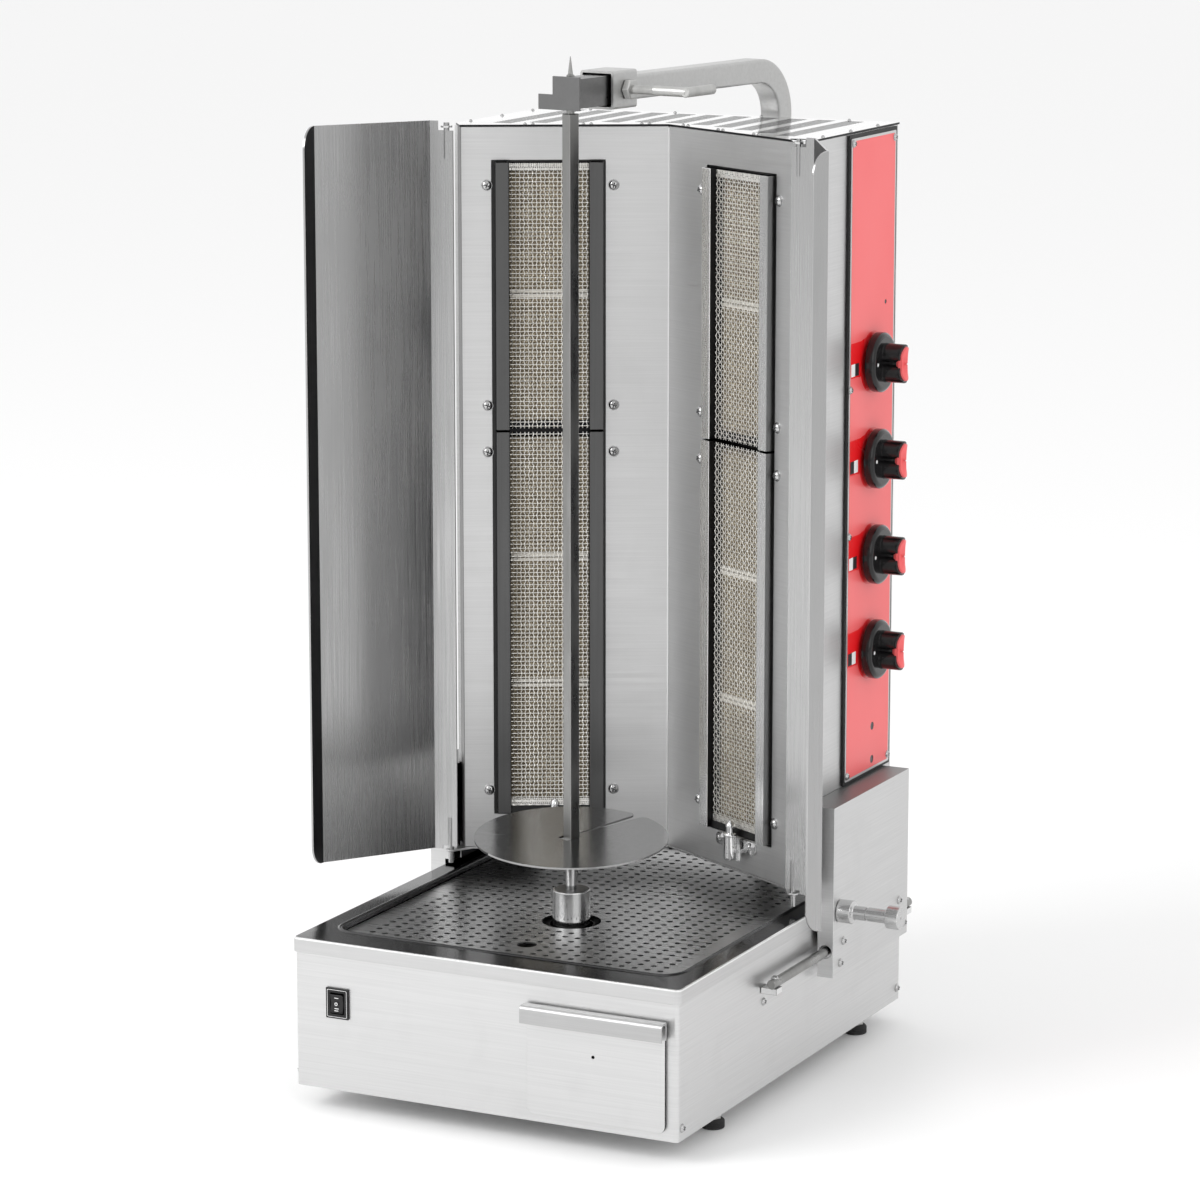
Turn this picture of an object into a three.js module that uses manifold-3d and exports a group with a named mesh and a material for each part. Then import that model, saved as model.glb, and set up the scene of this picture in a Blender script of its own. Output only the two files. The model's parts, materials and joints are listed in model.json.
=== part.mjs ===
// Vertical rotisserie broiler: a floor-standing base with a drip deck and a powered spit, and a gas
// burner cabinet that slides on side rods. Millimetres, +Z up, the front of the machine faces -Y.
// Everything is laid out about the middle of the base, on the surface it stands on. The last lines
// move the group so that its origin is the bottom centre of the whole machine's box.
import * as THREE from "three";
import { mergeVertices } from "three/addons/utils/BufferGeometryUtils.js";
import Module from "manifold-3d";

const wasm = await Module();
wasm.setup();

// ---------------------------------------------------------------- driving dimensions
const SHEET = 2; // thickness of the folded steel
const GAP = 0.3; // clearance between pieces that meet
const OVER = 5; // how far a cutting solid runs past the face it cuts

const BASE_HALF_X = 212.5;
const BASE_HALF_Y = 277;
const FOOT_HEIGHT = 24;
const BASE_CORNER = 4; // radius of the base's upright corners

const DECK_TOP = 178;
const SKIRT_HEIGHT = 15; // the deck's turned-down edge
const SKIRT_OUT = 2.5; // how far the skirt stands out past the base
const WELL_HALF_X = 189;
const WELL_FRONT = -238;
const WELL_BACK = 238;
const WELL_FLOOR = 166;
const WELL_CORNER = 22;
const TRAY_TOP = 172.5;
const TRAY_HUB_HOLE = 30.2;
const FINGER_HOLE = { y: -183, radius: 10 };
const COLLAR = { inner: 22.5, outer: 24, top: 169.5 };
const DRAIN = { x: 120, y: -180, radius: 12 };

const SPIT_Y = -84;
const SPIT_SIDE = 12; // the spit is a square bar
const SPIT_TURN = THREE.MathUtils.degToRad(-23.6);
const JOURNAL_RADIUS = 4; // the round end that stands in the head
const POST = { foot: 6, top: 7.9 }; // radii of the round post between hub and disc
const SPIT_SQUARE_TOP = 993;
const SPIT_TIP = 1049;
const HUB_RADIUS = 19.4;
const HUB_TOP = 206.5;
const DISC_RADIUS = 98.8;
const DISC_HEIGHT = 260;
const DISC_HOLE = { half: 7.2, front: -12, back: 7.2, slitNear: -3, slitFar: -4, slitFarAtRim: -13.4 };
const DISC_LEAN = THREE.MathUtils.degToRad(4); // the loose disc leans on its collar
const DISC_LEAN_TOWARDS = THREE.MathUtils.degToRad(-63.5);

const CABINET_HALF_X = 202.8;
const CABINET_BACK = 264.8;
const CABINET_BOTTOM = 200.4;
const CABINET_TOP = 964.5;
const VERTEX_Y = 140.8; // where the two burner panels meet
const PANEL_END = { x: 188.25, y: 38 };
const SIDE_FRONT_Y = 57.8;
const SIDE_FLANGE = 3.4;
const PANEL_LENGTH = Math.hypot(PANEL_END.x, VERTEX_Y - PANEL_END.y);
const PANEL_TURN = Math.atan2(VERTEX_Y - PANEL_END.y, PANEL_END.x);

// Burner window, as distances from the vertex along a panel, and heights
const WINDOW = { near: 65.6, far: 183, bottom: 236, top: 928 };
const BURNERS = [
  { level: "lower", bottom: 238, top: 646, plaqueBottom: 246, plaqueTop: 637 },
  { level: "upper", bottom: 648, top: 926, plaqueBottom: 656, plaqueTop: 916 },
];
const CHANNEL = { near: 67.8, far: 179.6, width: 14.3, proud: 8 };
const PLENUM_BACK = 45;
const PLAQUE_FRONT = 8.5; // behind the panel's face
const PLAQUE_BACK = 21.7;
const PILOT = { middle: 124, aside: 4.3, front: -12, low: 214, tip: 256, nutHeight: 230.5, nutSpread: 26 };

const HINGE = { x: 197.7, y: 25.1 };
const DOOR_BOTTOM = 199.6;
const DOOR_TOP = 969;
const DOOR_FOLDS = [
  { length: 19, turn: 0 },
  { length: 132, turn: 0.937 },
  { length: 25, turn: 0.709 },
];
const DOOR_REST = { left: 0.017, right: 0.127 };
const PIN_RADIUS = 3;
const DOOR_RETURN = 8; // how far the leaf runs on past its hinge axis

const COVER = { inner: 216.3, outer: 234, front: 46, back: 243, bottom: 108, top: 287 };
const ROD = { x: 225, z: 135, radius: 5, front: -88, back: 267 };
const ROD_BRACKET = { fromEnd: 9, half: 7, low: -11, seat: -4.5 }; // heights from the rod's axis

const PANEL_PLATE = { front: 135, back: 250.5, bottom: 291.5, top: 958 };
const BEZEL = { front: 132.5, back: 256, bottom: 288, top: 961.5, thick: 2.5 };
const KNOB_Y = 194;
const KNOB_TOP_Z = 724.5;
const KNOB_PITCH = 100.4;
const KNOB_COUNT = 4;
const KNOB_RADIUS = 31;
const KNOB_SKIRT = 11;
const KNOB_GRIP = { length: 20, half: 9, web: 4, reach: 24 };
const KNOB_BACK_X = 211.2;
const STEM_RADIUS = 4;

const DRAWER = { left: 50, right: 200, bottom: 32, top: 142, length: 206, plate: 3 };
const SWITCH = { x: -163.8, z: 115, width: 25.5, height: 31.5, rim: 3 };

const ARM_TUBE = 25;
const ARM_WALL = 2;
const ARM_CENTRE_Z = 1013;
const ARM_BEND = 48; // radius of the bend, at the middle of the tube
const ARM_FOOT = { x: 51, y: 295, bottom: 45, plateHalf: 32 };
const ARM_TURN = -Math.atan2(ARM_FOOT.x, ARM_FOOT.y - SPIT_Y);
const ARM_LENGTH = Math.hypot(ARM_FOOT.x, ARM_FOOT.y - SPIT_Y);
const SLEEVE = { front: 46, back: 88, width: 39.5, height: 38, wall: 2.5, endPlate: 3 };
const HEAD = { front: -8, back: 80, width: 28, height: 29, wall: 2.5, plate: 2.5, rim: 2 };
const CLAMP_Y = SLEEVE.front + 24.6; // where the clamp bolt crosses the sleeve
const BOLT = { radius: 4.5, reach: 71, handle: 46 };
const LOCK = { y: 62, z: 176, screw: 4.5 };

const CABLE = { x: -120, z: 62, hole: 8 };
const GAS = { x: 168, pipe: 8, inletZ: 385 };

// ---------------------------------------------------------------- materials
const steel = (colour, roughness) =>
  new THREE.MeshStandardMaterial({ color: colour, roughness, metalness: 1 });
const plain = (colour, roughness) =>
  new THREE.MeshStandardMaterial({ color: colour, roughness, metalness: 0 });
const MATERIAL = {
  brushed: steel(0xc4c5c6, 0.34),
  polished: steel(0xb6b8ba, 0.16),
  deck: steel(0x77797b, 0.14),
  bar: steel(0x9c9b99, 0.42),
  zinc: steel(0xa9abac, 0.5),
  housing: steel(0x8b8c8c, 0.36),
  wire: steel(0x84807a, 0.45),
  brass: steel(0xb99b55, 0.35),
  plaque: plain(0xb9ac8f, 0.95),
  red: plain(0xe8373b, 0.3),
  black: plain(0x17181a, 0.25),
  rubber: plain(0x1c1d1e, 0.8),
  motor: plain(0x3b3f44, 0.55),
};

// ---------------------------------------------------------------- shapes
// A closed geometry as a solid for joining and cutting.
function solid(geometry) {
  const bare = geometry.clone();
  bare.deleteAttribute("normal");
  bare.deleteAttribute("uv");
  const merged = mergeVertices(bare, 1e-4);
  return new wasm.Manifold(
    new wasm.Mesh({
      numProp: 3,
      vertProperties: merged.attributes.position.array,
      triVerts: new Uint32Array(merged.index.array),
    }),
  );
}

function geometryOf(made) {
  const mesh = made.getMesh();
  return new THREE.BufferGeometry()
    .setAttribute("position", new THREE.BufferAttribute(mesh.vertProperties, 3))
    .setIndex(new THREE.BufferAttribute(mesh.triVerts, 1));
}

// A box between two opposite corners, given in any order.
function block([x0, y0, z0], [x1, y1, z1]) {
  const box = new THREE.BoxGeometry(Math.abs(x1 - x0), Math.abs(y1 - y0), Math.abs(z1 - z0));
  box.translate((x0 + x1) / 2, (y0 + y1) / 2, (z0 + z1) / 2);
  return solid(box);
}

// A round bar along x, y or z, from one end to the other.
function rod(axis, radius, centre, from, to, sides = 16, endRadius = radius) {
  const bar = new THREE.CylinderGeometry(endRadius, radius, to - from, sides);
  if (axis === "x") bar.rotateZ(-Math.PI / 2);
  if (axis === "z") bar.rotateX(Math.PI / 2);
  const middle = (from + to) / 2;
  const [a, b] = centre;
  if (axis === "x") bar.translate(middle, a, b);
  if (axis === "y") bar.translate(a, middle, b);
  if (axis === "z") bar.translate(a, b, middle);
  return solid(bar);
}

// A flat outline in XY, raised from one height to another.
function prism(outline, bottom, top) {
  const raised = new THREE.ExtrudeGeometry(outline, {
    depth: top - bottom,
    bevelEnabled: false,
    curveSegments: 3,
  });
  raised.translate(0, 0, bottom);
  return solid(raised);
}

function polygon(points) {
  return new THREE.Shape(points.map(([x, y]) => new THREE.Vector2(x, y)));
}

function roundedRectangle(x0, x1, y0, y1, radius) {
  const shape = new THREE.Shape();
  const quarter = Math.PI / 2;
  shape.moveTo(x0 + radius, y0);
  shape.absarc(x1 - radius, y0 + radius, radius, -quarter, 0);
  shape.absarc(x1 - radius, y1 - radius, radius, 0, quarter);
  shape.absarc(x0 + radius, y1 - radius, radius, quarter, 2 * quarter);
  shape.absarc(x0 + radius, y0 + radius, radius, 2 * quarter, 3 * quarter);
  return shape;
}

// A solid of revolution about Z through (x, y); the profile holds [radius, height] points.
function turned(profile, x, y, sides = 20) {
  const lathe = new THREE.LatheGeometry(
    profile.map(([radius, height]) => new THREE.Vector2(radius, height)),
    sides,
  );
  lathe.rotateX(Math.PI / 2);
  lathe.translate(x, y, 0);
  return solid(lathe);
}

// The same for an axis along +X through (y, z); the profile holds [radius, x] points.
function turnedAlongX(profile, y, z, sides = 18) {
  const lathe = new THREE.LatheGeometry(
    profile.map(([radius, along]) => new THREE.Vector2(radius, along)),
    sides,
  );
  lathe.rotateZ(-Math.PI / 2);
  lathe.translate(0, y, z);
  return solid(lathe);
}

// The cross-section of a folded sheet whose face follows the points; it has its thickness on the left.
function foldedOutline(points, thickness) {
  const normals = points.slice(1).map(([x, y], i) => {
    const dx = x - points[i][0];
    const dy = y - points[i][1];
    const length = Math.hypot(dx, dy);
    return [-dy / length, dx / length];
  });
  const inside = points.map(([x, y], i) => {
    const before = normals[Math.max(i - 1, 0)];
    const after = normals[Math.min(i, normals.length - 1)];
    const scale = thickness / (1 + before[0] * after[0] + before[1] * after[1]);
    return [x + (before[0] + after[0]) * scale, y + (before[1] + after[1]) * scale];
  });
  return polygon([...points, ...inside.reverse()]);
}

// ---------------------------------------------------------------- scene graph
const machine = new THREE.Group();

function place(name, made, material, parent = machine) {
  const mesh = new THREE.Mesh(geometryOf(made), material);
  mesh.name = name;
  parent.add(mesh);
  return mesh;
}

const sides = [
  { name: "left", s: -1 },
  { name: "right", s: 1 },
];

// ---------------------------------------------------------------- base
function baseShell() {
  const skin = (inset, bottom, top) =>
    prism(
      roundedRectangle(
        -BASE_HALF_X + inset,
        BASE_HALF_X - inset,
        -BASE_HALF_Y + inset,
        BASE_HALF_Y - inset,
        BASE_CORNER - inset,
      ),
      bottom,
      top,
    );
  const shellTop = DECK_TOP - SHEET - GAP;
  let shell = skin(0, FOOT_HEIGHT, shellTop);
  shell = shell.subtract(skin(SHEET, FOOT_HEIGHT + SHEET, shellTop + OVER));
  // drawer opening, with two runners behind it
  const front = -BASE_HALF_Y;
  const opening = {
    left: DRAWER.left + 4,
    right: DRAWER.right - 4,
    bottom: DRAWER.bottom + 3,
    top: DRAWER.top - 20,
  };
  const runnerWidth = 12;
  const sunk = 0.5; // how far a joined piece sinks into the sheet it stands on
  shell = shell.subtract(
    block([opening.left, front - OVER, opening.bottom], [opening.right, front + OVER, opening.top]),
  );
  for (const x of [opening.left + 4, opening.right - 4 - runnerWidth]) {
    shell = shell.add(
      block(
        [x, front + SHEET - sunk, FOOT_HEIGHT + SHEET - sunk],
        [x + runnerWidth, front + DRAWER.length, DRAWER.bottom + 4 - GAP],
      ),
    );
  }
  // switch cut-out
  const cutX = SWITCH.width / 2 - SWITCH.rim;
  const cutZ = SWITCH.height / 2 - SWITCH.rim;
  shell = shell.subtract(
    block(
      [SWITCH.x - cutX, front - OVER, SWITCH.z - cutZ],
      [SWITCH.x + cutX, front + OVER, SWITCH.z + cutZ],
    ),
  );
  // cable hole at the back
  return shell.subtract(
    rod("y", CABLE.hole, [CABLE.x, CABLE.z], BASE_HALF_Y - OVER, BASE_HALF_Y + OVER),
  );
}

function deckPan() {
  const outerX = BASE_HALF_X + SKIRT_OUT;
  const outerY = BASE_HALF_Y + SKIRT_OUT;
  const corner = BASE_CORNER + SKIRT_OUT;
  const wall = SKIRT_OUT - GAP;
  let deck = prism(
    roundedRectangle(-outerX, outerX, -outerY, outerY, corner),
    DECK_TOP - SKIRT_HEIGHT,
    DECK_TOP,
  );
  deck = deck.subtract(
    prism(
      roundedRectangle(-outerX + wall, outerX - wall, -outerY + wall, outerY - wall, corner - wall),
      DECK_TOP - SKIRT_HEIGHT - OVER,
      DECK_TOP - SHEET,
    ),
  );
  // the well is pressed down inside a raised bead
  const bead = 5;
  const wellWall = (inset, bottom, top) =>
    prism(
      roundedRectangle(
        -WELL_HALF_X + inset,
        WELL_HALF_X - inset,
        WELL_FRONT + inset,
        WELL_BACK - inset,
        WELL_CORNER - inset,
      ),
      bottom,
      top,
    );
  deck = deck.add(wellWall(-bead, DECK_TOP - 0.5, DECK_TOP + 1.5));
  deck = deck.add(wellWall(-SHEET, WELL_FLOOR - SHEET, DECK_TOP - SHEET + 0.5));
  deck = deck.subtract(wellWall(0, WELL_FLOOR, DECK_TOP + OVER));
  // low collar round the spit's drive, and the drain over the grease drawer
  const { inner, outer, top } = COLLAR;
  deck = deck.add(rod("z", outer, [0, SPIT_Y], WELL_FLOOR - 1, top));
  deck = deck.subtract(rod("z", inner, [0, SPIT_Y], WELL_FLOOR - OVER, top + OVER));
  return deck.subtract(rod("z", DRAIN.radius, [DRAIN.x, DRAIN.y], WELL_FLOOR - OVER, WELL_FLOOR + OVER));
}

// The tray lies loose on feet in the well. It is 1.5 thick here; its small holes are left out.
function perforatedTray() {
  const rim = 1.5;
  const thick = 1.5;
  let tray = prism(
    roundedRectangle(
      -WELL_HALF_X + rim,
      WELL_HALF_X - rim,
      WELL_FRONT + rim,
      WELL_BACK - rim,
      WELL_CORNER - rim,
    ),
    TRAY_TOP - thick,
    TRAY_TOP,
  );
  for (const x of [-150, 150]) {
    for (const y of [-200, 200]) {
      tray = tray.add(rod("z", 6, [x, y], WELL_FLOOR + GAP, TRAY_TOP - thick / 2, 8));
    }
  }
  tray = tray.subtract(rod("z", TRAY_HUB_HOLE, [0, SPIT_Y], WELL_FLOOR, TRAY_TOP + OVER, 24));
  return tray.subtract(rod("z", FINGER_HOLE.radius, [0, FINGER_HOLE.y], WELL_FLOOR, TRAY_TOP + OVER));
}

function foot() {
  return turned(
    [
      [0, 0],
      [12, 0],
      [12, 7],
      [9, 10],
      [5, 10],
      [5, FOOT_HEIGHT - GAP],
      [0, FOOT_HEIGHT - GAP],
    ],
    0,
    0,
    14,
  );
}

// A guide rod on the two small blocks that carry it off the base's side.
function guideRod(s) {
  let made = rod("y", ROD.radius, [ROD.x, ROD.z], ROD.front, ROD.back, 12);
  const { fromEnd, half, low, seat } = ROD_BRACKET;
  for (const y of [ROD.front + fromEnd, ROD.back - fromEnd]) {
    made = made.add(
      block([BASE_HALF_X + GAP, y - half, ROD.z + low], [ROD.x + ROD.radius, y + half, ROD.z + seat]),
    );
  }
  return s > 0 ? made : made.mirror([1, 0, 0]);
}

function gearmotor() {
  const top = WELL_FLOOR - SHEET - GAP;
  let made = block([-60, SPIT_Y - 60, top - 3], [60, SPIT_Y + 60, top]);
  made = made.add(rod("z", 34, [0, SPIT_Y], 130, top - 1));
  made = made.add(block([-45, SPIT_Y - 45, 88], [45, SPIT_Y + 45, 140]));
  made = made.add(rod("y", 36, [0, 100], SPIT_Y + 40, SPIT_Y + 175, 18));
  made = made.add(rod("y", 30, [0, 100], SPIT_Y + 170, SPIT_Y + 185, 18));
  const bore = 10.4; // the hub's shaft turns in it
  return made.subtract(rod("z", bore, [0, SPIT_Y], 100, top + OVER));
}

function switchBezel() {
  const { x, z, width, height, rim } = SWITCH;
  const front = -BASE_HALF_Y - 2.5;
  let bezel = block(
    [x - width / 2, front, z - height / 2],
    [x + width / 2, -BASE_HALF_Y - GAP, z + height / 2],
  );
  const neck = { x: width / 2 - rim - GAP, z: height / 2 - rim - GAP };
  bezel = bezel.add(
    block([x - neck.x, front + 1, z - neck.z], [x + neck.x, -BASE_HALF_Y + 16, z + neck.z]),
  );
  const mouth = { x: neck.x - 1.6, z: neck.z - 1.6 };
  return bezel.subtract(
    block([x - mouth.x, front - OVER, z - mouth.z], [x + mouth.x, -BASE_HALF_Y + 12, z + mouth.z]),
  );
}

// The rocker swings about X; its face is a shallow V.
function switchRocker() {
  const { x, z, width, height } = SWITCH;
  const half = { x: width / 2 - 5.6, z: height / 2 - 6.4 };
  const face = -BASE_HALF_Y;
  const outline = polygon([
    [face - 4, -half.z],
    [face - 2, 0],
    [face - 4, half.z],
    [face + 3, half.z],
    [face + 8, 3],
    [face + 8, -3],
    [face + 3, -half.z],
  ]);
  const bar = new THREE.ExtrudeGeometry(outline, { depth: 2 * half.x, bevelEnabled: false });
  // outline (y, z) extruded along x: turn the local axes onto the machine's
  bar.applyMatrix4(
    new THREE.Matrix4().makeBasis(
      new THREE.Vector3(0, 1, 0),
      new THREE.Vector3(0, 0, 1),
      new THREE.Vector3(1, 0, 0),
    ),
  );
  bar.translate(x - half.x, 0, z);
  return solid(bar);
}

function cableGland() {
  let gland = rod("y", 12, [CABLE.x, CABLE.z], BASE_HALF_Y + GAP, BASE_HALF_Y + 6, 6);
  gland = gland.add(rod("y", 7.5, [CABLE.x, CABLE.z], BASE_HALF_Y - 8, BASE_HALF_Y + 12, 12));
  gland = gland.add(rod("y", 10.5, [CABLE.x, CABLE.z], BASE_HALF_Y + 7, BASE_HALF_Y + 18, 12, 8));
  return gland.subtract(rod("y", 4, [CABLE.x, CABLE.z], BASE_HALF_Y - 20, BASE_HALF_Y + 30, 10));
}

// ---------------------------------------------------------------- grease drawer
function greaseDrawer() {
  const front = -BASE_HALF_Y - GAP;
  const wall = 1.5;
  const box = {
    left: DRAWER.left + 7,
    right: DRAWER.right - 7,
    bottom: DRAWER.bottom + 4,
    top: DRAWER.top - 24,
  };
  const corner = 8;
  const pinhole = { x: 122.4, z: 99, radius: 1.6 };
  const plate = new THREE.ExtrudeGeometry(
    roundedRectangle(DRAWER.left, DRAWER.right, DRAWER.bottom, DRAWER.top, corner),
    { depth: DRAWER.plate, bevelEnabled: false, curveSegments: 6 },
  );
  plate.rotateX(Math.PI / 2);
  plate.translate(0, front, 0);
  let drawer = solid(plate);
  drawer = drawer.add(
    block([box.left, front - 0.5, box.bottom], [box.right, front + DRAWER.length, box.top]),
  );
  drawer = drawer.subtract(
    block(
      [box.left + wall, front + wall, box.bottom + wall],
      [box.right - wall, front + DRAWER.length - wall, box.top + OVER],
    ),
  );
  return drawer.subtract(
    rod("y", pinhole.radius, [pinhole.x, pinhole.z], front - OVER, front + OVER, 12),
  );
}

// A full-width rolled lip: its top runs forward and turns down over the fingers.
function drawerHandle() {
  const back = -BASE_HALF_Y - GAP - DRAWER.plate - GAP;
  const reach = 12;
  const drop = 18;
  const top = DRAWER.top + 3;
  const wall = 1.8;
  const roll = 5;
  const section = new THREE.Shape();
  section.moveTo(back, top - drop);
  section.lineTo(back, top);
  section.lineTo(back - reach + roll, top);
  section.absarc(back - reach + roll, top - roll, roll, Math.PI / 2, Math.PI);
  section.lineTo(back - reach, top - drop);
  section.lineTo(back - reach + wall, top - drop);
  section.lineTo(back - reach + wall, top - roll);
  section.absarc(back - reach + roll, top - roll, roll - wall, Math.PI, Math.PI / 2, true);
  section.lineTo(back - wall, top - wall);
  section.lineTo(back - wall, top - drop);
  const lip = new THREE.ExtrudeGeometry(section, {
    depth: DRAWER.right - DRAWER.left + 4,
    bevelEnabled: false,
    curveSegments: 5,
  });
  lip.applyMatrix4(
    new THREE.Matrix4().makeBasis(
      new THREE.Vector3(0, 1, 0),
      new THREE.Vector3(0, 0, 1),
      new THREE.Vector3(1, 0, 0),
    ),
  );
  lip.translate(DRAWER.left - 2, 0, 0);
  return solid(lip);
}

// ---------------------------------------------------------------- spit
function driveHub() {
  const socket = POST.foot + 0.4;
  const foot = WELL_FLOOR - 0.5;
  return turned(
    [
      [0, 112],
      [10, 112],
      [10, foot],
      [HUB_RADIUS - 1, foot],
      [HUB_RADIUS, foot + 1],
      [HUB_RADIUS, HUB_TOP - 1],
      [HUB_RADIUS - 1, HUB_TOP],
      [socket, HUB_TOP],
      [socket, HUB_TOP - 16],
      [0, HUB_TOP - 16],
    ],
    0,
    SPIT_Y,
  );
}

function spitBar() {
  const foot = HUB_TOP - 15;
  const shoulder = DISC_HEIGHT - 6;
  const collar = 10;
  const half = SPIT_SIDE / 2;
  let bar = turned(
    [
      [0, foot],
      [POST.foot, foot],
      [POST.foot, HUB_TOP + 4],
      [POST.top, shoulder - 3],
      [collar, shoulder - 3],
      [collar, shoulder + 2.5],
      [0, shoulder + 2.5],
    ],
    0,
    0,
    16,
  );
  bar = bar.add(block([-half, -half, shoulder], [half, half, SPIT_SQUARE_TOP]));
  const tip = turned(
    [
      [0, SPIT_SQUARE_TOP - 2],
      [JOURNAL_RADIUS, SPIT_SQUARE_TOP - 2],
      [JOURNAL_RADIUS, ARM_CENTRE_Z + 18],
      [2.6, ARM_CENTRE_Z + 18],
      [0.4, SPIT_TIP],
      [0, SPIT_TIP],
    ],
    0,
    0,
    12,
  );
  return bar.add(tip);
}

// The hole is longer than the bar so that the disc can lean. A slit from it opens towards the rim.
function meatDisc() {
  const thick = 2;
  const { half, front, back, slitNear, slitFar, slitFarAtRim } = DISC_HOLE;
  const end = DISC_RADIUS + OVER;
  const slit = polygon([
    [slitNear, back - 1],
    [slitNear, end],
    [slitFarAtRim, end],
    [slitFar, back - 1],
  ]);
  let disc = rod("z", DISC_RADIUS, [0, 0], -thick / 2, thick / 2, 60);
  disc = disc.subtract(block([-half, front, -OVER], [half, back, OVER]));
  return disc.subtract(prism(slit, -OVER, OVER));
}

// ---------------------------------------------------------------- arm and spit head
// The arm is drawn from the side, forwards to the left, about the spit's axis.
function armOutline(inset, overrun) {
  const half = ARM_TUBE / 2 - inset;
  const front = SLEEVE.back - 1 - SLEEVE.endPlate - overrun;
  const foot = ARM_FOOT.bottom - overrun;
  const bendY = ARM_LENGTH - ARM_BEND;
  const bendZ = ARM_CENTRE_Z - ARM_BEND;
  const outline = new THREE.Shape();
  outline.moveTo(ARM_LENGTH + half, foot);
  outline.lineTo(ARM_LENGTH + half, bendZ);
  outline.absarc(bendY, bendZ, ARM_BEND + half, 0, Math.PI / 2);
  outline.lineTo(front, ARM_CENTRE_Z + half);
  outline.lineTo(front, ARM_CENTRE_Z - half);
  outline.lineTo(bendY, ARM_CENTRE_Z - half);
  outline.absarc(bendY, bendZ, ARM_BEND - half, Math.PI / 2, 0, true);
  outline.lineTo(ARM_LENGTH - half, foot);
  return outline;
}

function armSide(outline, width) {
  const strip = new THREE.ExtrudeGeometry(outline, {
    depth: width,
    bevelEnabled: false,
    curveSegments: 9,
  });
  strip.applyMatrix4(
    new THREE.Matrix4().makeBasis(
      new THREE.Vector3(0, 1, 0),
      new THREE.Vector3(0, 0, 1),
      new THREE.Vector3(1, 0, 0),
    ),
  );
  strip.translate(-width / 2, 0, 0);
  return solid(strip);
}

function tube(width, height, wall, from, to) {
  const outer = block(
    [-width / 2, from, ARM_CENTRE_Z - height / 2],
    [width / 2, to, ARM_CENTRE_Z + height / 2],
  );
  const inner = block(
    [-width / 2 + wall, from - OVER, ARM_CENTRE_Z - height / 2 + wall],
    [width / 2 - wall, to + OVER, ARM_CENTRE_Z + height / 2 - wall],
  );
  return outer.subtract(inner);
}

// The bent tube with the clamp sleeve welded on its front end and a mounting plate at its foot.
function armTube() {
  let arm = armSide(armOutline(0, 0), ARM_TUBE);
  arm = arm.subtract(armSide(armOutline(ARM_WALL, OVER), ARM_TUBE - 2 * ARM_WALL));
  arm = arm.add(tube(SLEEVE.width, SLEEVE.height, SLEEVE.wall, SLEEVE.front, SLEEVE.back));
  // end plate that joins the tube to the sleeve
  const halfWidth = SLEEVE.width / 2;
  const halfHeight = SLEEVE.height / 2;
  arm = arm.add(
    block(
      [-halfWidth + 1, SLEEVE.back - 1 - SLEEVE.endPlate, ARM_CENTRE_Z - halfHeight + 1],
      [halfWidth - 1, SLEEVE.back - 1, ARM_CENTRE_Z + halfHeight - 1],
    ),
  );
  const nut = { radius: 11, depth: 8 };
  arm = arm.add(
    rod("x", nut.radius, [CLAMP_Y, ARM_CENTRE_Z], halfWidth - 0.5, halfWidth + nut.depth, 6),
  );
  return arm.subtract(
    rod("x", BOLT.radius + GAP, [CLAMP_Y, ARM_CENTRE_Z], halfWidth - OVER, halfWidth + 20, 12),
  );
}

// The plate that bolts the arm to the back of the base, below the deck's skirt.
function armFootPlate() {
  const { x, y, bottom, plateHalf } = ARM_FOOT;
  const intoTube = 1;
  return block(
    [x - plateHalf, BASE_HALF_Y + GAP, bottom - 2],
    [x + plateHalf, y - ARM_TUBE / 2 + intoTube, DECK_TOP - SKIRT_HEIGHT - 4],
  );
}

// The head slides in the sleeve; the spit's journal stands in a slot through it.
function spitHead() {
  const { front, back, width, height, wall, plate, rim } = HEAD;
  let head = tube(width, height, wall, front + plate - 0.5, back);
  head = head.add(
    block(
      [-width / 2 - rim, front, ARM_CENTRE_Z - height / 2 - rim],
      [width / 2 + rim, front + plate, ARM_CENTRE_Z + height / 2 + rim],
    ),
  );
  // side tab at the lower left
  const tab = { out: 19, deep: 22, tall: 15, thick: 2 };
  const low = ARM_CENTRE_Z - height / 2 - rim;
  head = head.add(
    block([-width / 2 - tab.out, front, low], [-width / 2 + 1, front + tab.thick, low + tab.tall]),
  );
  head = head.add(
    block([-width / 2 - tab.out, front, low], [-width / 2 + 1, front + tab.deep, low + tab.thick]),
  );
  // the slot is longer behind the journal, so the head can be pushed forwards to free the spit
  const slot = { half: JOURNAL_RADIUS + 0.6, ahead: JOURNAL_RADIUS + 0.8, behind: 13, reach: 30 };
  return head.subtract(
    block(
      [-slot.half, -slot.ahead, ARM_CENTRE_Z - slot.reach],
      [slot.half, slot.behind, ARM_CENTRE_Z + slot.reach],
    ),
  );
}

// Clamp bolt square to the arm, with a cross handle on its end.
function headClampBolt() {
  const { radius, handle } = BOLT;
  const start = HEAD.width / 2 + GAP;
  const end = SLEEVE.width / 2 + BOLT.reach;
  const bolt = rod("x", radius, [CLAMP_Y, ARM_CENTRE_Z], start, end, 12);
  return bolt.add(
    rod("y", radius + 0.5, [end, ARM_CENTRE_Z], CLAMP_Y - radius, CLAMP_Y + handle, 12),
  );
}

// ---------------------------------------------------------------- burner cabinet
// Panels are built flat, x along the panel from the vertex and +y behind its face, then turned.
function panelGroup(s) {
  const group = new THREE.Group();
  group.position.set(0, VERTEX_Y, 0);
  group.rotation.z = -s * PANEL_TURN;
  machine.add(group);
  return group;
}

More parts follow.
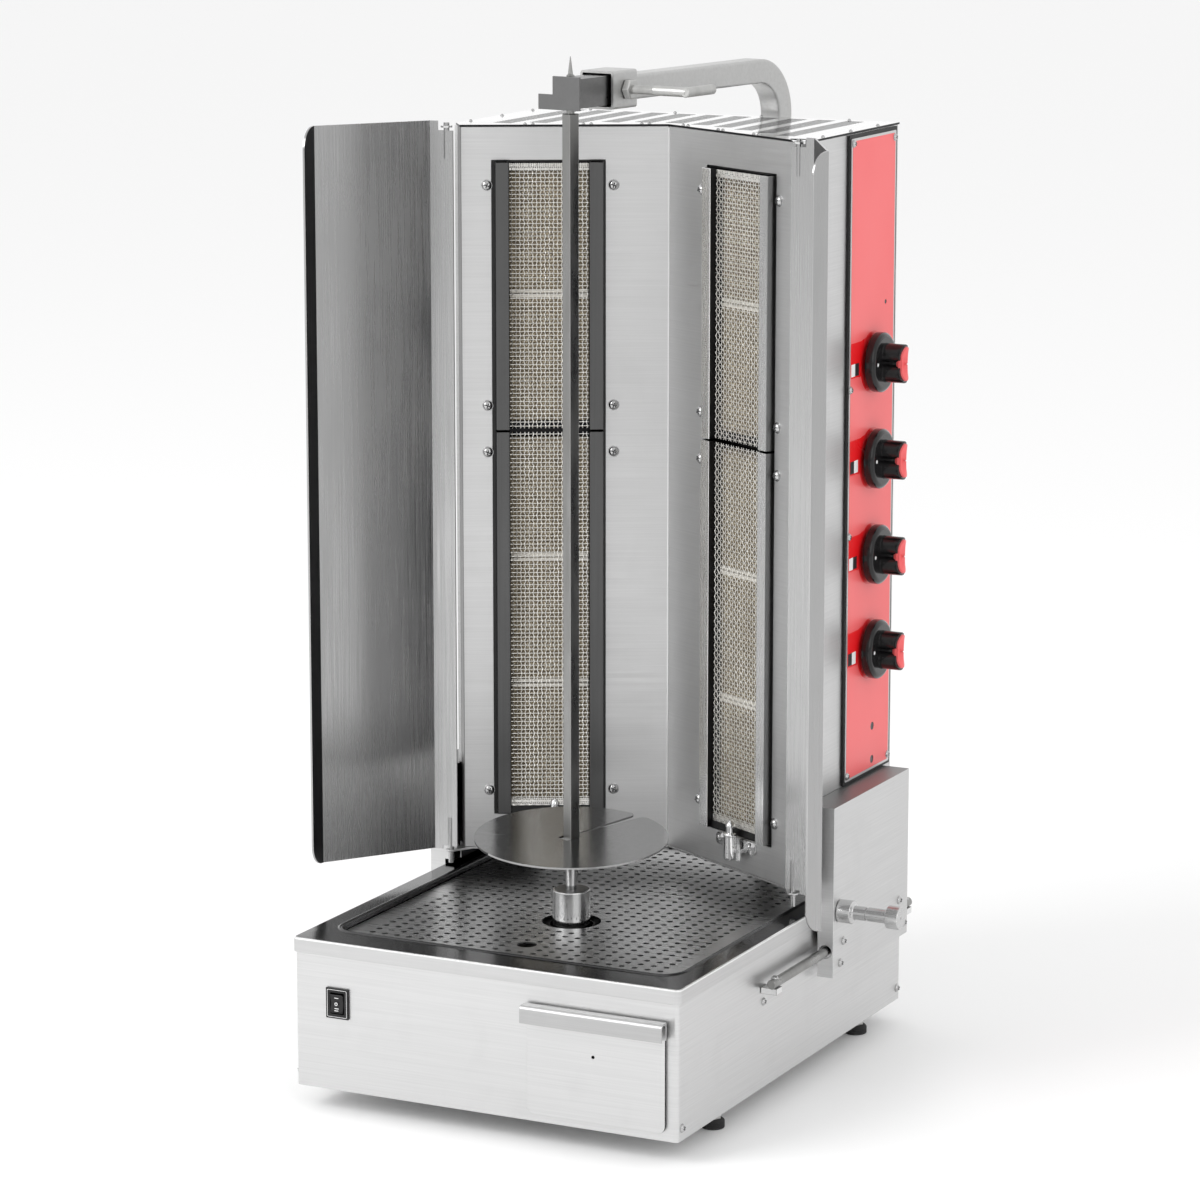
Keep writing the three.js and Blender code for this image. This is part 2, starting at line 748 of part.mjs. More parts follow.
function burnerPanel(s) {
  const bottom = CABINET_BOTTOM;
  const top = CABINET_TOP - SHEET - GAP;
  const clearOfVertex = 0.4;
  const end = new THREE.Vector2(CABINET_HALF_X - PANEL_END.x, SIDE_FRONT_Y - PANEL_END.y);
  end.setLength(end.length() - SHEET);
  end.rotateAround(new THREE.Vector2(), PANEL_TURN);
  // the outer end folds back to the cabinet's side
  const path = [
    [PANEL_LENGTH + end.x, end.y],
    [PANEL_LENGTH, 0],
    [clearOfVertex, 0],
  ];
  let panel = prism(foldedOutline(path.reverse(), SHEET), bottom, top);
  panel = panel.subtract(
    block([WINDOW.near, -OVER, WINDOW.bottom], [WINDOW.far, OVER, WINDOW.top]),
  );
  return s > 0 ? panel : panel.mirror([1, 0, 0]);
}

// Open-fronted burner box with two channels that stand proud of the panel and hold the guard.
function burnerHousing(s, burner) {
  const { near, far, width, proud } = CHANNEL;
  const ledge = PLAQUE_BACK + GAP;
  const skin = 1.5;
  const endWall = 6;
  const mixingTube = { outer: 13, inner: 11, height: 60, length: 16 };
  let box = prism(
    polygon([
      [near, -proud],
      [near + width, -proud],
      [near + width, ledge],
      [far - width, ledge],
      [far - width, -proud],
      [far, -proud],
      [far, PLENUM_BACK],
      [near, PLENUM_BACK],
    ]),
    burner.bottom,
    burner.top,
  );
  const plenum = { near: near + width + skin, far: far - width - skin };
  box = box.subtract(
    block(
      [plenum.near, ledge - OVER, burner.bottom + endWall],
      [plenum.far, PLENUM_BACK - skin, burner.top - endWall],
    ),
  );
  for (const start of [near + skin, far - width + skin]) {
    box = box.subtract(
      block(
        [start, -proud + skin, burner.bottom - OVER],
        [start + width - 2 * skin, PLENUM_BACK - skin, burner.top + OVER],
      ),
    );
  }
  // mixing tube out of the back
  const middle = (near + far) / 2;
  const height = burner.bottom + mixingTube.height;
  const end = PLENUM_BACK + mixingTube.length;
  box = box.add(rod("y", mixingTube.outer, [middle, height], PLENUM_BACK - 1, end, 12));
  box = box.subtract(rod("y", mixingTube.inner, [middle, height], PLENUM_BACK - OVER, end + OVER, 12));
  return s > 0 ? box : box.mirror([1, 0, 0]);
}

function betweenChannels(s, clearance, front, back, bottom, top) {
  const near = CHANNEL.near + CHANNEL.width + clearance;
  const far = CHANNEL.far - CHANNEL.width - clearance;
  return block([s * near, front, bottom], [s * far, back, top]);
}

// Pilot burner on a plate below the window, held by two nuts. Both sides use the same piece.
function pilot(s) {
  const { front, low, tip, nutHeight, nutSpread } = PILOT;
  const middle = s * PILOT.middle;
  const x = middle + PILOT.aside;
  const plate = { back: -GAP, front: -GAP - 1.5, halfLength: 34 };
  let made = block(
    [middle - plate.halfLength, plate.front, nutHeight - 9],
    [middle + plate.halfLength, plate.back, nutHeight + 4.5],
  );
  made = made.add(block([x - 4, front, nutHeight - 8], [x + 13, plate.front + 1, nutHeight - 4]));
  for (const nut of [middle - nutSpread, middle + nutSpread]) {
    made = made.add(rod("y", 4, [nut, nutHeight], plate.front - 3.5, plate.front + 0.5, 6));
  }
  made = made.add(rod("z", 2.8, [x + 10.5, front + 3], low, nutHeight - 5, 10));
  const body = turned(
    [
      [0, low],
      [6, low],
      [6.8, low + 2],
      [6.6, tip - 17],
      [7.3, tip - 17],
      [7.3, tip - 14],
      [4.4, tip - 14],
      [4.4, tip - 7.5],
      [5, tip - 7.5],
      [4.6, tip - 5],
      [0.8, tip],
      [0, tip],
    ],
    x,
    front,
    12,
  );
  return made.add(body);
}

function cabinetOutline(margin) {
  const frontLift = margin / Math.cos(PANEL_TURN);
  const right = [
    [PANEL_END.x + margin * 0.6, PANEL_END.y - frontLift],
    [CABINET_HALF_X + margin, SIDE_FRONT_Y - margin],
    [CABINET_HALF_X + margin, CABINET_BACK + margin],
  ];
  const left = right.map(([x, y]) => [-x, y]).reverse();
  return polygon([[0, VERTEX_Y - frontLift], ...right, ...left]);
}

// Adds the two ears that carry the door pins.
function withEars(plate, bottom, top) {
  const earRadius = 6;
  for (const s of [-1, 1]) {
    const corners = [
      [s * (HINGE.x - 5), HINGE.y - 3],
      [s * (HINGE.x + 5), HINGE.y + 3],
      [s * (PANEL_END.x + 4), PANEL_END.y + 16],
      [s * (PANEL_END.x - 12), PANEL_END.y + 12],
    ];
    plate = plate.add(prism(polygon(s > 0 ? corners : corners.reverse()), bottom, top));
    plate = plate.add(rod("z", earRadius, [s * HINGE.x, HINGE.y], bottom, top, 14));
    plate = plate.subtract(
      rod("z", PIN_RADIUS + 0.4, [s * HINGE.x, HINGE.y], bottom - OVER, top + OVER, 12),
    );
  }
  return plate;
}

function cabinetFloor() {
  const top = CABINET_BOTTOM - GAP;
  const bottom = top - SHEET;
  return withEars(prism(cabinetOutline(0), bottom, top), bottom, top);
}

function topPlate() {
  const bottom = CABINET_TOP - SHEET;
  return withEars(prism(cabinetOutline(1), bottom, CABINET_TOP), bottom, CABINET_TOP);
}

const knobHeights = Array.from({ length: KNOB_COUNT }, (_, i) => KNOB_TOP_Z - i * KNOB_PITCH);

function cabinetSide(s) {
  const top = CABINET_TOP - SHEET - GAP;
  let plate = block(
    [s * (CABINET_HALF_X - SHEET), SIDE_FRONT_Y + GAP, CABINET_BOTTOM],
    [s * CABINET_HALF_X, CABINET_BACK - SHEET - GAP, top],
  );
  // above the slide cover, a narrow flange turned outwards behind the door
  const front = SIDE_FRONT_Y + GAP;
  plate = plate.add(
    block(
      [s * (CABINET_HALF_X - SHEET / 2), front, COVER.top + GAP],
      [s * (CABINET_HALF_X + SIDE_FLANGE), front + SHEET, top],
    ),
  );
  if (s > 0) {
    for (const z of knobHeights) {
      plate = plate.subtract(
        rod("x", STEM_RADIUS + 2, [KNOB_Y, z], CABINET_HALF_X - 10, CABINET_HALF_X + 10, 10),
      );
    }
  }
  return plate;
}

function cabinetBack() {
  const top = CABINET_TOP - SHEET - GAP;
  let plate = block(
    [-CABINET_HALF_X, CABINET_BACK - SHEET, CABINET_BOTTOM],
    [CABINET_HALF_X, CABINET_BACK, top],
  );
  // two columns of cooling slots
  const slot = { width: 110, height: 8, rows: 5, pitch: 26, top: 900 };
  for (const x of [-100, 100]) {
    for (let row = 0; row < slot.rows; row++) {
      const z = slot.top - row * slot.pitch;
      plate = plate.subtract(
        block(
          [x - slot.width / 2, CABINET_BACK - OVER, z],
          [x + slot.width / 2, CABINET_BACK + OVER, z + slot.height],
        ),
      );
    }
  }
  return plate.subtract(
    rod("y", GAS.pipe + 2, [GAS.x, GAS.inletZ], CABINET_BACK - OVER, CABINET_BACK + OVER, 12),
  );
}

// Cover over a guide rod, hooked from the cabinet's side down past the edge of the deck.
function slideCover(s) {
  const { inner, outer, front, back, bottom, top } = COVER;
  const wall = 2;
  const side = CABINET_HALF_X + GAP;
  const overDeck = DECK_TOP + 4;
  let cover = block([inner, front, bottom], [outer, back, top]);
  cover = cover.add(block([side, front, overDeck], [outer, back, top]));
  cover = cover.subtract(
    block([inner - OVER, front + wall, bottom - OVER], [outer - wall, back - wall, overDeck]),
  );
  cover = cover.subtract(
    block([side + wall, front + wall, overDeck - OVER], [outer - wall, back - wall, top - wall]),
  );
  cover = cover.subtract(
    block([side - OVER, front - OVER, overDeck - OVER], [side + wall + 1, SIDE_FRONT_Y, CABINET_BOTTOM]),
  );
  cover = cover.subtract(rod("y", ROD.radius + 2, [ROD.x, ROD.z], front - OVER, back + OVER, 12));
  if (s > 0) {
    cover = cover.subtract(rod("x", LOCK.screw + 1, [LOCK.y, LOCK.z], outer - 10, outer + 10, 12));
  }
  return s > 0 ? cover : cover.mirror([1, 0, 0]);
}

function slideBlock(s) {
  const middle = (COVER.front + COVER.back) / 2;
  const half = { length: 30, height: 14 };
  let made = block(
    [BASE_HALF_X + SKIRT_OUT + 2, middle - half.length, ROD.z - half.height],
    [COVER.outer - 2 - GAP, middle + half.length, ROD.z + half.height],
  );
  const ends = half.length + OVER;
  made = made.subtract(rod("y", ROD.radius + GAP, [ROD.x, ROD.z], middle - ends, middle + ends, 14));
  return s > 0 ? made : made.mirror([1, 0, 0]);
}

function controlBezel() {
  const back = CABINET_HALF_X + GAP;
  let bezel = block([back, BEZEL.front, BEZEL.bottom], [back + BEZEL.thick, BEZEL.back, BEZEL.top]);
  for (const z of knobHeights) {
    bezel = bezel.subtract(rod("x", STEM_RADIUS + 1.5, [KNOB_Y, z], back - OVER, back + 10, 10));
  }
  return bezel;
}

function controlPanel() {
  const back = CABINET_HALF_X + GAP + BEZEL.thick + GAP;
  const { front, back: rear, bottom, top } = PANEL_PLATE;
  let plate = block([back, front, bottom], [back + 1.2, rear, top]);
  for (const z of knobHeights) {
    plate = plate.subtract(rod("x", STEM_RADIUS + 1, [KNOB_Y, z], back - OVER, back + 10, 10));
  }
  return plate;
}

// Upright gas rail with a valve body behind each knob, and an inlet pipe out of the back.
function gasManifold() {
  const { x, pipe, inletZ } = GAS;
  let rail = rod("z", pipe, [x, KNOB_Y], inletZ - 10, KNOB_TOP_Z + 25, 10);
  for (const z of knobHeights) {
    rail = rail.add(block([x - 13, KNOB_Y - 13, z - 14], [x + 16, KNOB_Y + 13, z + 14]));
    rail = rail.add(rod("x", 9, [KNOB_Y, z], x + 15, x + 24, 10));
  }
  rail = rail.add(rod("y", pipe, [x, inletZ], KNOB_Y, CABINET_BACK + 4, 10));
  rail = rail.add(rod("y", 13.5, [x, inletZ], CABINET_BACK + 2, CABINET_BACK + 10, 6));
  rail = rail.add(rod("y", 10, [x, inletZ], CABINET_BACK + 9, CABINET_BACK + 26, 12));
  return rail.subtract(rod("y", 6, [x, inletZ], CABINET_BACK + 2, CABINET_BACK + 40, 10));
}

// ---------------------------------------------------------------- doors
function doorPath(s, rest) {
  let heading = rest;
  let point = [-s * DOOR_RETURN * Math.cos(rest), DOOR_RETURN * Math.sin(rest)];
  const path = [point];
  point = [0, 0]; // the hinge axis lies on the first fold
  for (const fold of DOOR_FOLDS) {
    heading += fold.turn;
    const [x, y] = point;
    point = [x + s * fold.length * Math.cos(heading), y - fold.length * Math.sin(heading)];
    path.push(point);
  }
  return path;
}

function door(s, rest) {
  const path = doorPath(s, rest);
  const outline = foldedOutline(s > 0 ? [...path].reverse() : path, SHEET);
  let leaf = prism(outline, DOOR_BOTTOM, DOOR_TOP);
  // the free corners of the last fold are rounded
  const [bendPoint, tip] = path.slice(-2);
  const length = DOOR_FOLDS[2].length;
  const radius = length - 2;
  const along = new THREE.Vector3(tip[0] - bendPoint[0], tip[1] - bendPoint[1], 0).normalize();
  const across = new THREE.Vector3(-along.y, along.x, 0);
  for (const [edge, inward] of [
    [DOOR_BOTTOM, 1],
    [DOOR_TOP, -1],
  ]) {
    const corner = new THREE.BoxGeometry(radius + OVER, 12, radius + OVER);
    corner.translate((radius + OVER) / 2, 0, (-inward * (radius + OVER)) / 2);
    const round = new THREE.CylinderGeometry(radius, radius, 14, 32);
    const basis = new THREE.Matrix4().makeBasis(along, across, new THREE.Vector3(0, 0, 1));
    basis.setPosition(
      tip[0] - along.x * radius,
      tip[1] - along.y * radius,
      edge + inward * radius,
    );
    corner.applyMatrix4(basis);
    round.applyMatrix4(basis);
    leaf = leaf.subtract(solid(corner).subtract(solid(round)));
  }
  // room for the ears, then the two pins
  const clear = DOOR_RETURN + 1.5;
  leaf = leaf.subtract(rod("z", clear, [0, 0], DOOR_BOTTOM - OVER, CABINET_BOTTOM + 3, 12));
  leaf = leaf.subtract(rod("z", clear, [0, 0], CABINET_TOP - SHEET - 3, DOOR_TOP + OVER, 12));
  leaf = leaf.add(rod("z", PIN_RADIUS, [0, 0], CABINET_BOTTOM - 15, CABINET_BOTTOM + 34, 12));
  leaf = leaf.add(rod("z", PIN_RADIUS, [0, 0], CABINET_TOP - 34, CABINET_TOP + 3, 12));
  return leaf;
}

// ---------------------------------------------------------------- knobs and lock
function knobStem(z) {
  return rod("x", STEM_RADIUS, [KNOB_Y, z], CABINET_HALF_X - 5.5, KNOB_BACK_X + 6, 10);
}

// A round skirt with a lever across it: two round lobes joined by a narrow web.
function knob(z) {
  const back = KNOB_BACK_X;
  const face = back + KNOB_SKIRT;
  const { length, half, web, reach } = KNOB_GRIP;
  const bore = { radius: STEM_RADIUS + 0.3, depth: 6.5 };
  const chamfer = 3;
  let made = turnedAlongX(
    [
      [0, back + bore.depth],
      [bore.radius, back + bore.depth],
      [bore.radius, back],
      [KNOB_RADIUS, back],
      [KNOB_RADIUS, face - chamfer],
      [KNOB_RADIUS - chamfer, face],
      [0, face],
    ],
    KNOB_Y,
    z,
    24,
  );
  const lobe = length - half; // from the middle of the knob to the middle of a lobe
  for (const end of [-1, 1]) {
    made = made.add(rod("x", half, [KNOB_Y, z + end * lobe], face - 1, face + reach, 12));
  }
  return made.add(
    block([face - 1, KNOB_Y - web, z - lobe], [face + reach, KNOB_Y + web, z + lobe]),
  );
}

// Spool-shaped locking handle on a screw that passes through the right-hand cover.
function lockHandle() {
  const x = COVER.outer + GAP;
  const profile = [
    [0, x - 6],
    [LOCK.screw, x - 6],
    [LOCK.screw, x],
    [12, x],
    [12, x + 15],
    [7.2, x + 17],
    [7.2, x + 52],
    [12, x + 54],
    [12, x + 66],
    [11, x + 67.5],
    [0, x + 67.5],
  ];
  return turnedAlongX(profile, LOCK.y, LOCK.z);
}

// ---------------------------------------------------------------- assembly
place("base_shell", baseShell(), MATERIAL.brushed);
place("deck_pan", deckPan(), MATERIAL.deck);
place("perforated_tray", perforatedTray(), MATERIAL.deck);
for (const [row, y] of [
  ["front", -149],
  ["rear", 210],
]) {
  for (const { name, s } of sides) {
    place(`foot_${row}_${name}`, foot(), MATERIAL.rubber).position.set(s * 190, y, 0);
  }
}
place("gearmotor", gearmotor(), MATERIAL.motor);
place("switch_bezel", switchBezel(), MATERIAL.black);
place("switch_rocker", switchRocker(), MATERIAL.black);
place("cable_gland", cableGland(), MATERIAL.black);
place("grease_drawer", greaseDrawer(), MATERIAL.brushed);
place("drawer_handle", drawerHandle(), MATERIAL.polished);

place("drive_hub", driveHub(), MATERIAL.polished);
const spit = new THREE.Group();
spit.position.set(0, SPIT_Y, 0);
machine.add(spit);
place("spit_bar", spitBar(), MATERIAL.bar, spit).rotation.z = SPIT_TURN;
const leanFrame = new THREE.Group();
leanFrame.position.z = DISC_HEIGHT;
leanFrame.quaternion.setFromAxisAngle(
  new THREE.Vector3(-Math.sin(DISC_LEAN_TOWARDS), Math.cos(DISC_LEAN_TOWARDS), 0),
  DISC_LEAN,
);
spit.add(leanFrame);
place("meat_disc", meatDisc(), MATERIAL.polished, leanFrame).rotation.z = SPIT_TURN;

const armFrame = new THREE.Group();
armFrame.position.set(0, SPIT_Y, 0);
armFrame.rotation.z = ARM_TURN;
machine.add(armFrame);
const footPlate = armFootPlate()
  .translate([0, -SPIT_Y, 0])
  .rotate([0, 0, -THREE.MathUtils.radToDeg(ARM_TURN)]);
place("arm_tube", armTube().add(footPlate), MATERIAL.brushed, armFrame);
place("spit_head", spitHead(), MATERIAL.housing, armFrame);
place("head_clamp_bolt", headClampBolt(), MATERIAL.zinc, armFrame);

place("cabinet_floor", cabinetFloor(), MATERIAL.brushed);
place("top_plate", topPlate(), MATERIAL.polished);
place("cabinet_back", cabinetBack(), MATERIAL.brushed);
for (const { name, s } of sides) {
  place(`cabinet_side_${name}`, cabinetSide(s), MATERIAL.brushed);
  place(`slide_cover_${name}`, slideCover(s), MATERIAL.brushed);
  place(`slide_block_${name}`, slideBlock(s), MATERIAL.brass);
  place(`guide_rod_${name}`, guideRod(s), MATERIAL.zinc);
  const frame = panelGroup(s);
  place(`burner_panel_${name}`, burnerPanel(s), MATERIAL.brushed, frame);
  for (const burner of BURNERS) {
    const label = `${burner.level}_${name}`;
    const { plaqueBottom, plaqueTop } = burner;
    place(`burner_housing_${label}`, burnerHousing(s, burner), MATERIAL.housing, frame);
    place(
      `burner_plaques_${label}`,
      betweenChannels(s, 0.4, PLAQUE_FRONT, PLAQUE_BACK, plaqueBottom, plaqueTop),
      MATERIAL.plaque,
      frame,
    );
    place(
      `burner_guard_${label}`,
      betweenChannels(s, 0.4, -1.2, 0, burner.bottom + 1, burner.top - 1),
      MATERIAL.wire,
      frame,
    );
  }
  place(`pilot_${name}`, pilot(s), MATERIAL.brass, frame);
  const leaf = place(`${name}_door`, door(s, DOOR_REST[name]), MATERIAL.brushed);
  leaf.position.set(s * HINGE.x, HINGE.y, 0);
}
place("control_bezel", controlBezel(), MATERIAL.black);
place("control_panel", controlPanel(), MATERIAL.red);
place("gas_manifold", gasManifold(), MATERIAL.brass);
knobHeights.forEach((z, i) => {
  place(`knob_stem_${i + 1}`, knobStem(z), MATERIAL.zinc);
  place(`knob_${i + 1}`, knob(z), MATERIAL.black);
});
place("lock_handle", lockHandle(), MATERIAL.polished);

// The origin moves to the bottom centre of the whole machine.
const bounds = new THREE.Box3().setFromObject(machine, true);
const middle = bounds.getCenter(new THREE.Vector3());
machine.position.set(-middle.x, -middle.y, -bounds.min.z);

export default machine;
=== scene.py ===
"""Looks of a vertical rotisserie broiler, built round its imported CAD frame.

Shapes are drawn in millimetres in one of five local frames (the machine, a burner panel, the arm,
the spit, the disc) and are moved into the row frame, in metres, when they become pieces.
"""

import json
import math

import bmesh
import bpy
from mathutils import Matrix, Vector
from mathutils.geometry import delaunay_2d_cdt

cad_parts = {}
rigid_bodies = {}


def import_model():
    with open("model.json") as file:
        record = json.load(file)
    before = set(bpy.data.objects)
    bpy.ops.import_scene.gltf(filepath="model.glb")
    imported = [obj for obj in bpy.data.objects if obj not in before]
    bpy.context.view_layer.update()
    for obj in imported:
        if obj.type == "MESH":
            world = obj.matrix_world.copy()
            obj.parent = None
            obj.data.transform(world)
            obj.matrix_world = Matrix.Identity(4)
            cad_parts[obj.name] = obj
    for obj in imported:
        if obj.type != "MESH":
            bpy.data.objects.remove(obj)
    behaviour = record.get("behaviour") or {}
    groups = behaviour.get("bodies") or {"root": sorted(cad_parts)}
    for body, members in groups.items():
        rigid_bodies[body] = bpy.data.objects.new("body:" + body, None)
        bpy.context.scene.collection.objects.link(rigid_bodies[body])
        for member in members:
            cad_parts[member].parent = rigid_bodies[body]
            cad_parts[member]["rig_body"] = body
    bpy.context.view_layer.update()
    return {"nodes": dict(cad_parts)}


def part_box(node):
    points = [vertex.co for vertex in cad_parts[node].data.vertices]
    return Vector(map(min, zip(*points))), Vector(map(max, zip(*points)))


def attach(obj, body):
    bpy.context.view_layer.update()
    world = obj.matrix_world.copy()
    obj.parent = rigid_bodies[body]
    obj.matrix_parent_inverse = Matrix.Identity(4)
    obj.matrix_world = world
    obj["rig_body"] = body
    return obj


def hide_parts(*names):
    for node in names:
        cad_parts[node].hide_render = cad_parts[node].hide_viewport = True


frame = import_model()

MM = 0.001

# ---------------- local frames
base_low, base_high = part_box("base_shell")
BASE_MIDDLE = Vector(((base_low.x + base_high.x) / 2, (base_low.y + base_high.y) / 2, 0))
MACHINE = Matrix.Translation(BASE_MIDDLE) @ Matrix.Scale(MM, 4)


def extent(node):
    """Lowest and highest corner of a CAD node, in millimetres in the machine's frame."""
    low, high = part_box(node)
    return (low - BASE_MIDDLE) / MM, (high - BASE_MIDDLE) / MM


def shift(x, y, z=0.0):
    return Matrix.Translation((x, y, z))


def turn(degrees, axis):
    return Matrix.Rotation(math.radians(degrees), 4, axis)


SIDES = {"left": -1, "right": 1}
BASE_HALF_X = extent("base_shell")[1].x
BASE_HALF_Y = extent("base_shell")[1].y
DECK_TOP = 178
SPIT_Y = (extent("drive_hub")[0].y + extent("drive_hub")[1].y) / 2
SPIT_TURN = -23.6
ARM_TURN = -7.664
ARM_Z = 1013
ARM_POST = Vector((51, 295))
SLEEVE_FRONT = 46
SLEEVE_BACK = 88
CLAMP_Y = 70.6
DISC_LEAN = 4
DISC_LEAN_TOWARDS = -63.5
PANEL_TURN = 28.64
PANEL_VERTEX_Y = 140.8
HINGE_X, HINGE_Y = 197.7, 25.1
CABINET_TOP = extent("top_plate")[1].z
CABINET_BACK = extent("cabinet_back")[1].y
CABINET_HALF_X = extent("cabinet_back")[1].x

SPIT = MACHINE @ shift(0, SPIT_Y) @ turn(SPIT_TURN, "Z")
ARM = MACHINE @ shift(0, SPIT_Y) @ turn(ARM_TURN, "Z")
# x runs along a burner panel from the inner corner, y behind its face
PANEL = {
    "right": MACHINE @ shift(0, PANEL_VERTEX_Y) @ turn(-PANEL_TURN, "Z"),
    "left": MACHINE @ shift(0, PANEL_VERTEX_Y) @ turn(PANEL_TURN, "Z") @ Matrix.Scale(-1, 4, (1, 0, 0)),
}
# the machine's right half, and its mirror image
HALF = {side: MACHINE @ Matrix.Scale(s, 4, (1, 0, 0)) for side, s in SIDES.items()}
ALONG_X = Matrix(((0, 0, 1, 0), (1, 0, 0, 0), (0, 1, 0, 0), (0, 0, 0, 1)))  # local z to x, x to y, y to z
ALONG_Y = Matrix(((1, 0, 0, 0), (0, 0, 1, 0), (0, 1, 0, 0), (0, 0, 0, 1)))  # local z to y, y to z
FACING_FRONT = turn(90, "X")  # local z to -y


# ---------------- finishes
def map_range(tree, value, low, high, out_low, out_high):
    node = tree.nodes.new("ShaderNodeMapRange")
    sockets = ("From Min", "From Max", "To Min", "To Max")
    for socket, number in zip(sockets, (low, high, out_low, out_high)):
        node.inputs[socket].default_value = number
    tree.links.new(value, node.inputs["Value"])
    return node.outputs["Result"]


class Finish:
    """A procedural material, put together node by node."""

    def __init__(self, name, colour, roughness, metallic=0.0):
        self.material = bpy.data.materials.new(name)
        self.material.use_nodes = True
        self.tree = self.material.node_tree
        self.shader = self.tree.nodes["Principled BSDF"]
        self.set("Base Color", (*colour, 1))
        self.set("Roughness", roughness)
        self.set("Metallic", metallic)

    def set(self, socket, value):
        self.shader.inputs[socket].default_value = value

    def link(self, output, socket):
        self.tree.links.new(output, socket)

    def place(self, scale):
        """Object coordinates in metres, scaled."""
        where = self.tree.nodes.new("ShaderNodeTexCoord").outputs["Object"]
        mapping = self.tree.nodes.new("ShaderNodeMapping")
        mapping.vector_type = "POINT"
        mapping.inputs["Scale"].default_value = scale
        self.link(where, mapping.inputs["Vector"])
        return mapping.outputs["Vector"]

    def noise(self, scale, detail=3.0):
        node = self.tree.nodes.new("ShaderNodeTexNoise")
        node.inputs["Scale"].default_value = 1.0
        node.inputs["Detail"].default_value = detail
        self.link(self.place(scale), node.inputs["Vector"])
        return node.outputs["Fac"]

    def ranged(self, value, *limits):
        return map_range(self.tree, value, *limits)

    def maths(self, operation, first, second):
        node = self.tree.nodes.new("ShaderNodeMath")
        node.operation = operation
        for socket, value in zip(node.inputs, (first, second)):
            if isinstance(value, (int, float)):
                socket.default_value = value
            else:
                self.link(value, socket)
        return node.outputs["Value"]

    def tint(self, share, other):
        """Mixes the colour so far towards another by a share from 0 to 1."""
        node = self.tree.nodes.new("ShaderNodeMix")
        node.data_type = "RGBA"
        colour_in = [s for s in node.inputs if s.type == "RGBA"]
        socket = self.shader.inputs["Base Color"]
        if socket.is_linked:
            self.link(socket.links[0].from_socket, colour_in[0])
        else:
            colour_in[0].default_value = socket.default_value
        colour_in[1].default_value = (*other, 1)
        self.link(share, node.inputs["Factor"])
        self.link([s for s in node.outputs if s.type == "RGBA"][0], socket)

    def bump(self, height, distance, strength=1.0):
        node = self.tree.nodes.new("ShaderNodeBump")
        node.inputs["Strength"].default_value = strength
        node.inputs["Distance"].default_value = distance
        socket = self.shader.inputs["Normal"]
        if socket.is_linked:
            self.link(socket.links[0].from_socket, node.inputs["Normal"])
        self.link(height, node.inputs["Height"])
        self.link(node.outputs["Normal"], socket)

    def rough(self, value):
        self.link(value, self.shader.inputs["Roughness"])


# how fast the grain changes along x, y and z, per metre, and how deep it is, in metres
UPRIGHT = (420, 420, 5)
LEVEL = (9, 9, 700)
ALONG_SHEET = (9, 400, 400)
ROUND = (6, 6, 900)
EVEN = (300, 300, 300)
SOFT = 0.00001
FAINT = 0.000003


def brushed(name, colour, roughness, grain=UPRIGHT, depth=0.00003):
    """Stainless sheet: fine parallel grain, broad cloudy variation and faint smudges."""
    colour = (colour,) * 3 if isinstance(colour, float) else colour
    made = Finish(name, colour, roughness, 1.0)
    fine = made.noise(grain, 2.0)
    clouds = made.noise((5, 5, 5), 2.0)
    smudge = made.noise((24, 24, 17), 4.0)
    made.tint(made.ranged(fine, 0.3, 0.7, 0.0, 0.12), tuple(c * 0.6 for c in colour))
    made.tint(made.ranged(smudge, 0.55, 0.8, 0.0, 0.14), tuple(c * 0.7 for c in colour))
    spread = made.ranged(fine, 0.25, 0.75, roughness - 0.05, roughness + 0.06)
    made.rough(made.maths("ADD", spread, made.ranged(clouds, 0.3, 0.7, -0.04, 0.05)))
    made.bump(fine, depth, 0.35)
    return made.material


def worn_steel(name, colour, roughness, stain):
    """Bar or plate that has been heated and scrubbed: stains, pits and uneven gloss."""
    made = Finish(name, colour, roughness, 1.0)
    pits = made.noise((900, 900, 300), 3.0)
    patches = made.noise((60, 60, 14), 4.0)
    made.tint(made.ranged(patches, 0.4, 0.75, 0.0, 0.5), stain)
    made.rough(made.ranged(patches, 0.3, 0.75, roughness - 0.07, roughness + 0.14))
    made.bump(pits, 0.00006, 0.6)
    return made.material


def moulded(name, colour, roughness, coat=0.0, shine=0.5):
    """Plastic or rubber with a fine moulded skin and slight wear."""
    made = Finish(name, colour, roughness)
    made.set("Specular IOR Level", shine)
    made.set("Coat Weight", coat)
    made.set("Coat Roughness", 0.06)
    skin = made.noise((1500, 1500, 1500), 2.0)
    wear = made.noise((70, 70, 70), 5.0)
    made.tint(made.ranged(wear, 0.5, 0.8, 0.0, 0.25), tuple(min(1, c * 1.6 + 0.01) for c in colour))
    made.rough(made.ranged(wear, 0.35, 0.75, roughness - 0.03, roughness + 0.08))
    made.bump(skin, 0.00003, 0.4)
    return made.material


def ceramic():
    """Burner plaque: pale fired clay with a dense pattern of small flame holes, unevenly scorched."""
    made = Finish("ceramic_plaque", (0.3, 0.25, 0.17), 0.9)
    scorch = made.noise((30, 30, 22), 3.0)
    speckle = made.noise((420, 420, 420), 2.0)
    made.tint(made.ranged(scorch, 0.35, 0.75, 0.0, 0.4), (0.2, 0.165, 0.12))
    made.tint(made.ranged(speckle, 0.42, 0.6, 0.0, 0.7), (0.08, 0.065, 0.05))
    made.bump(speckle, 0.0003, 0.6)
    return made.material


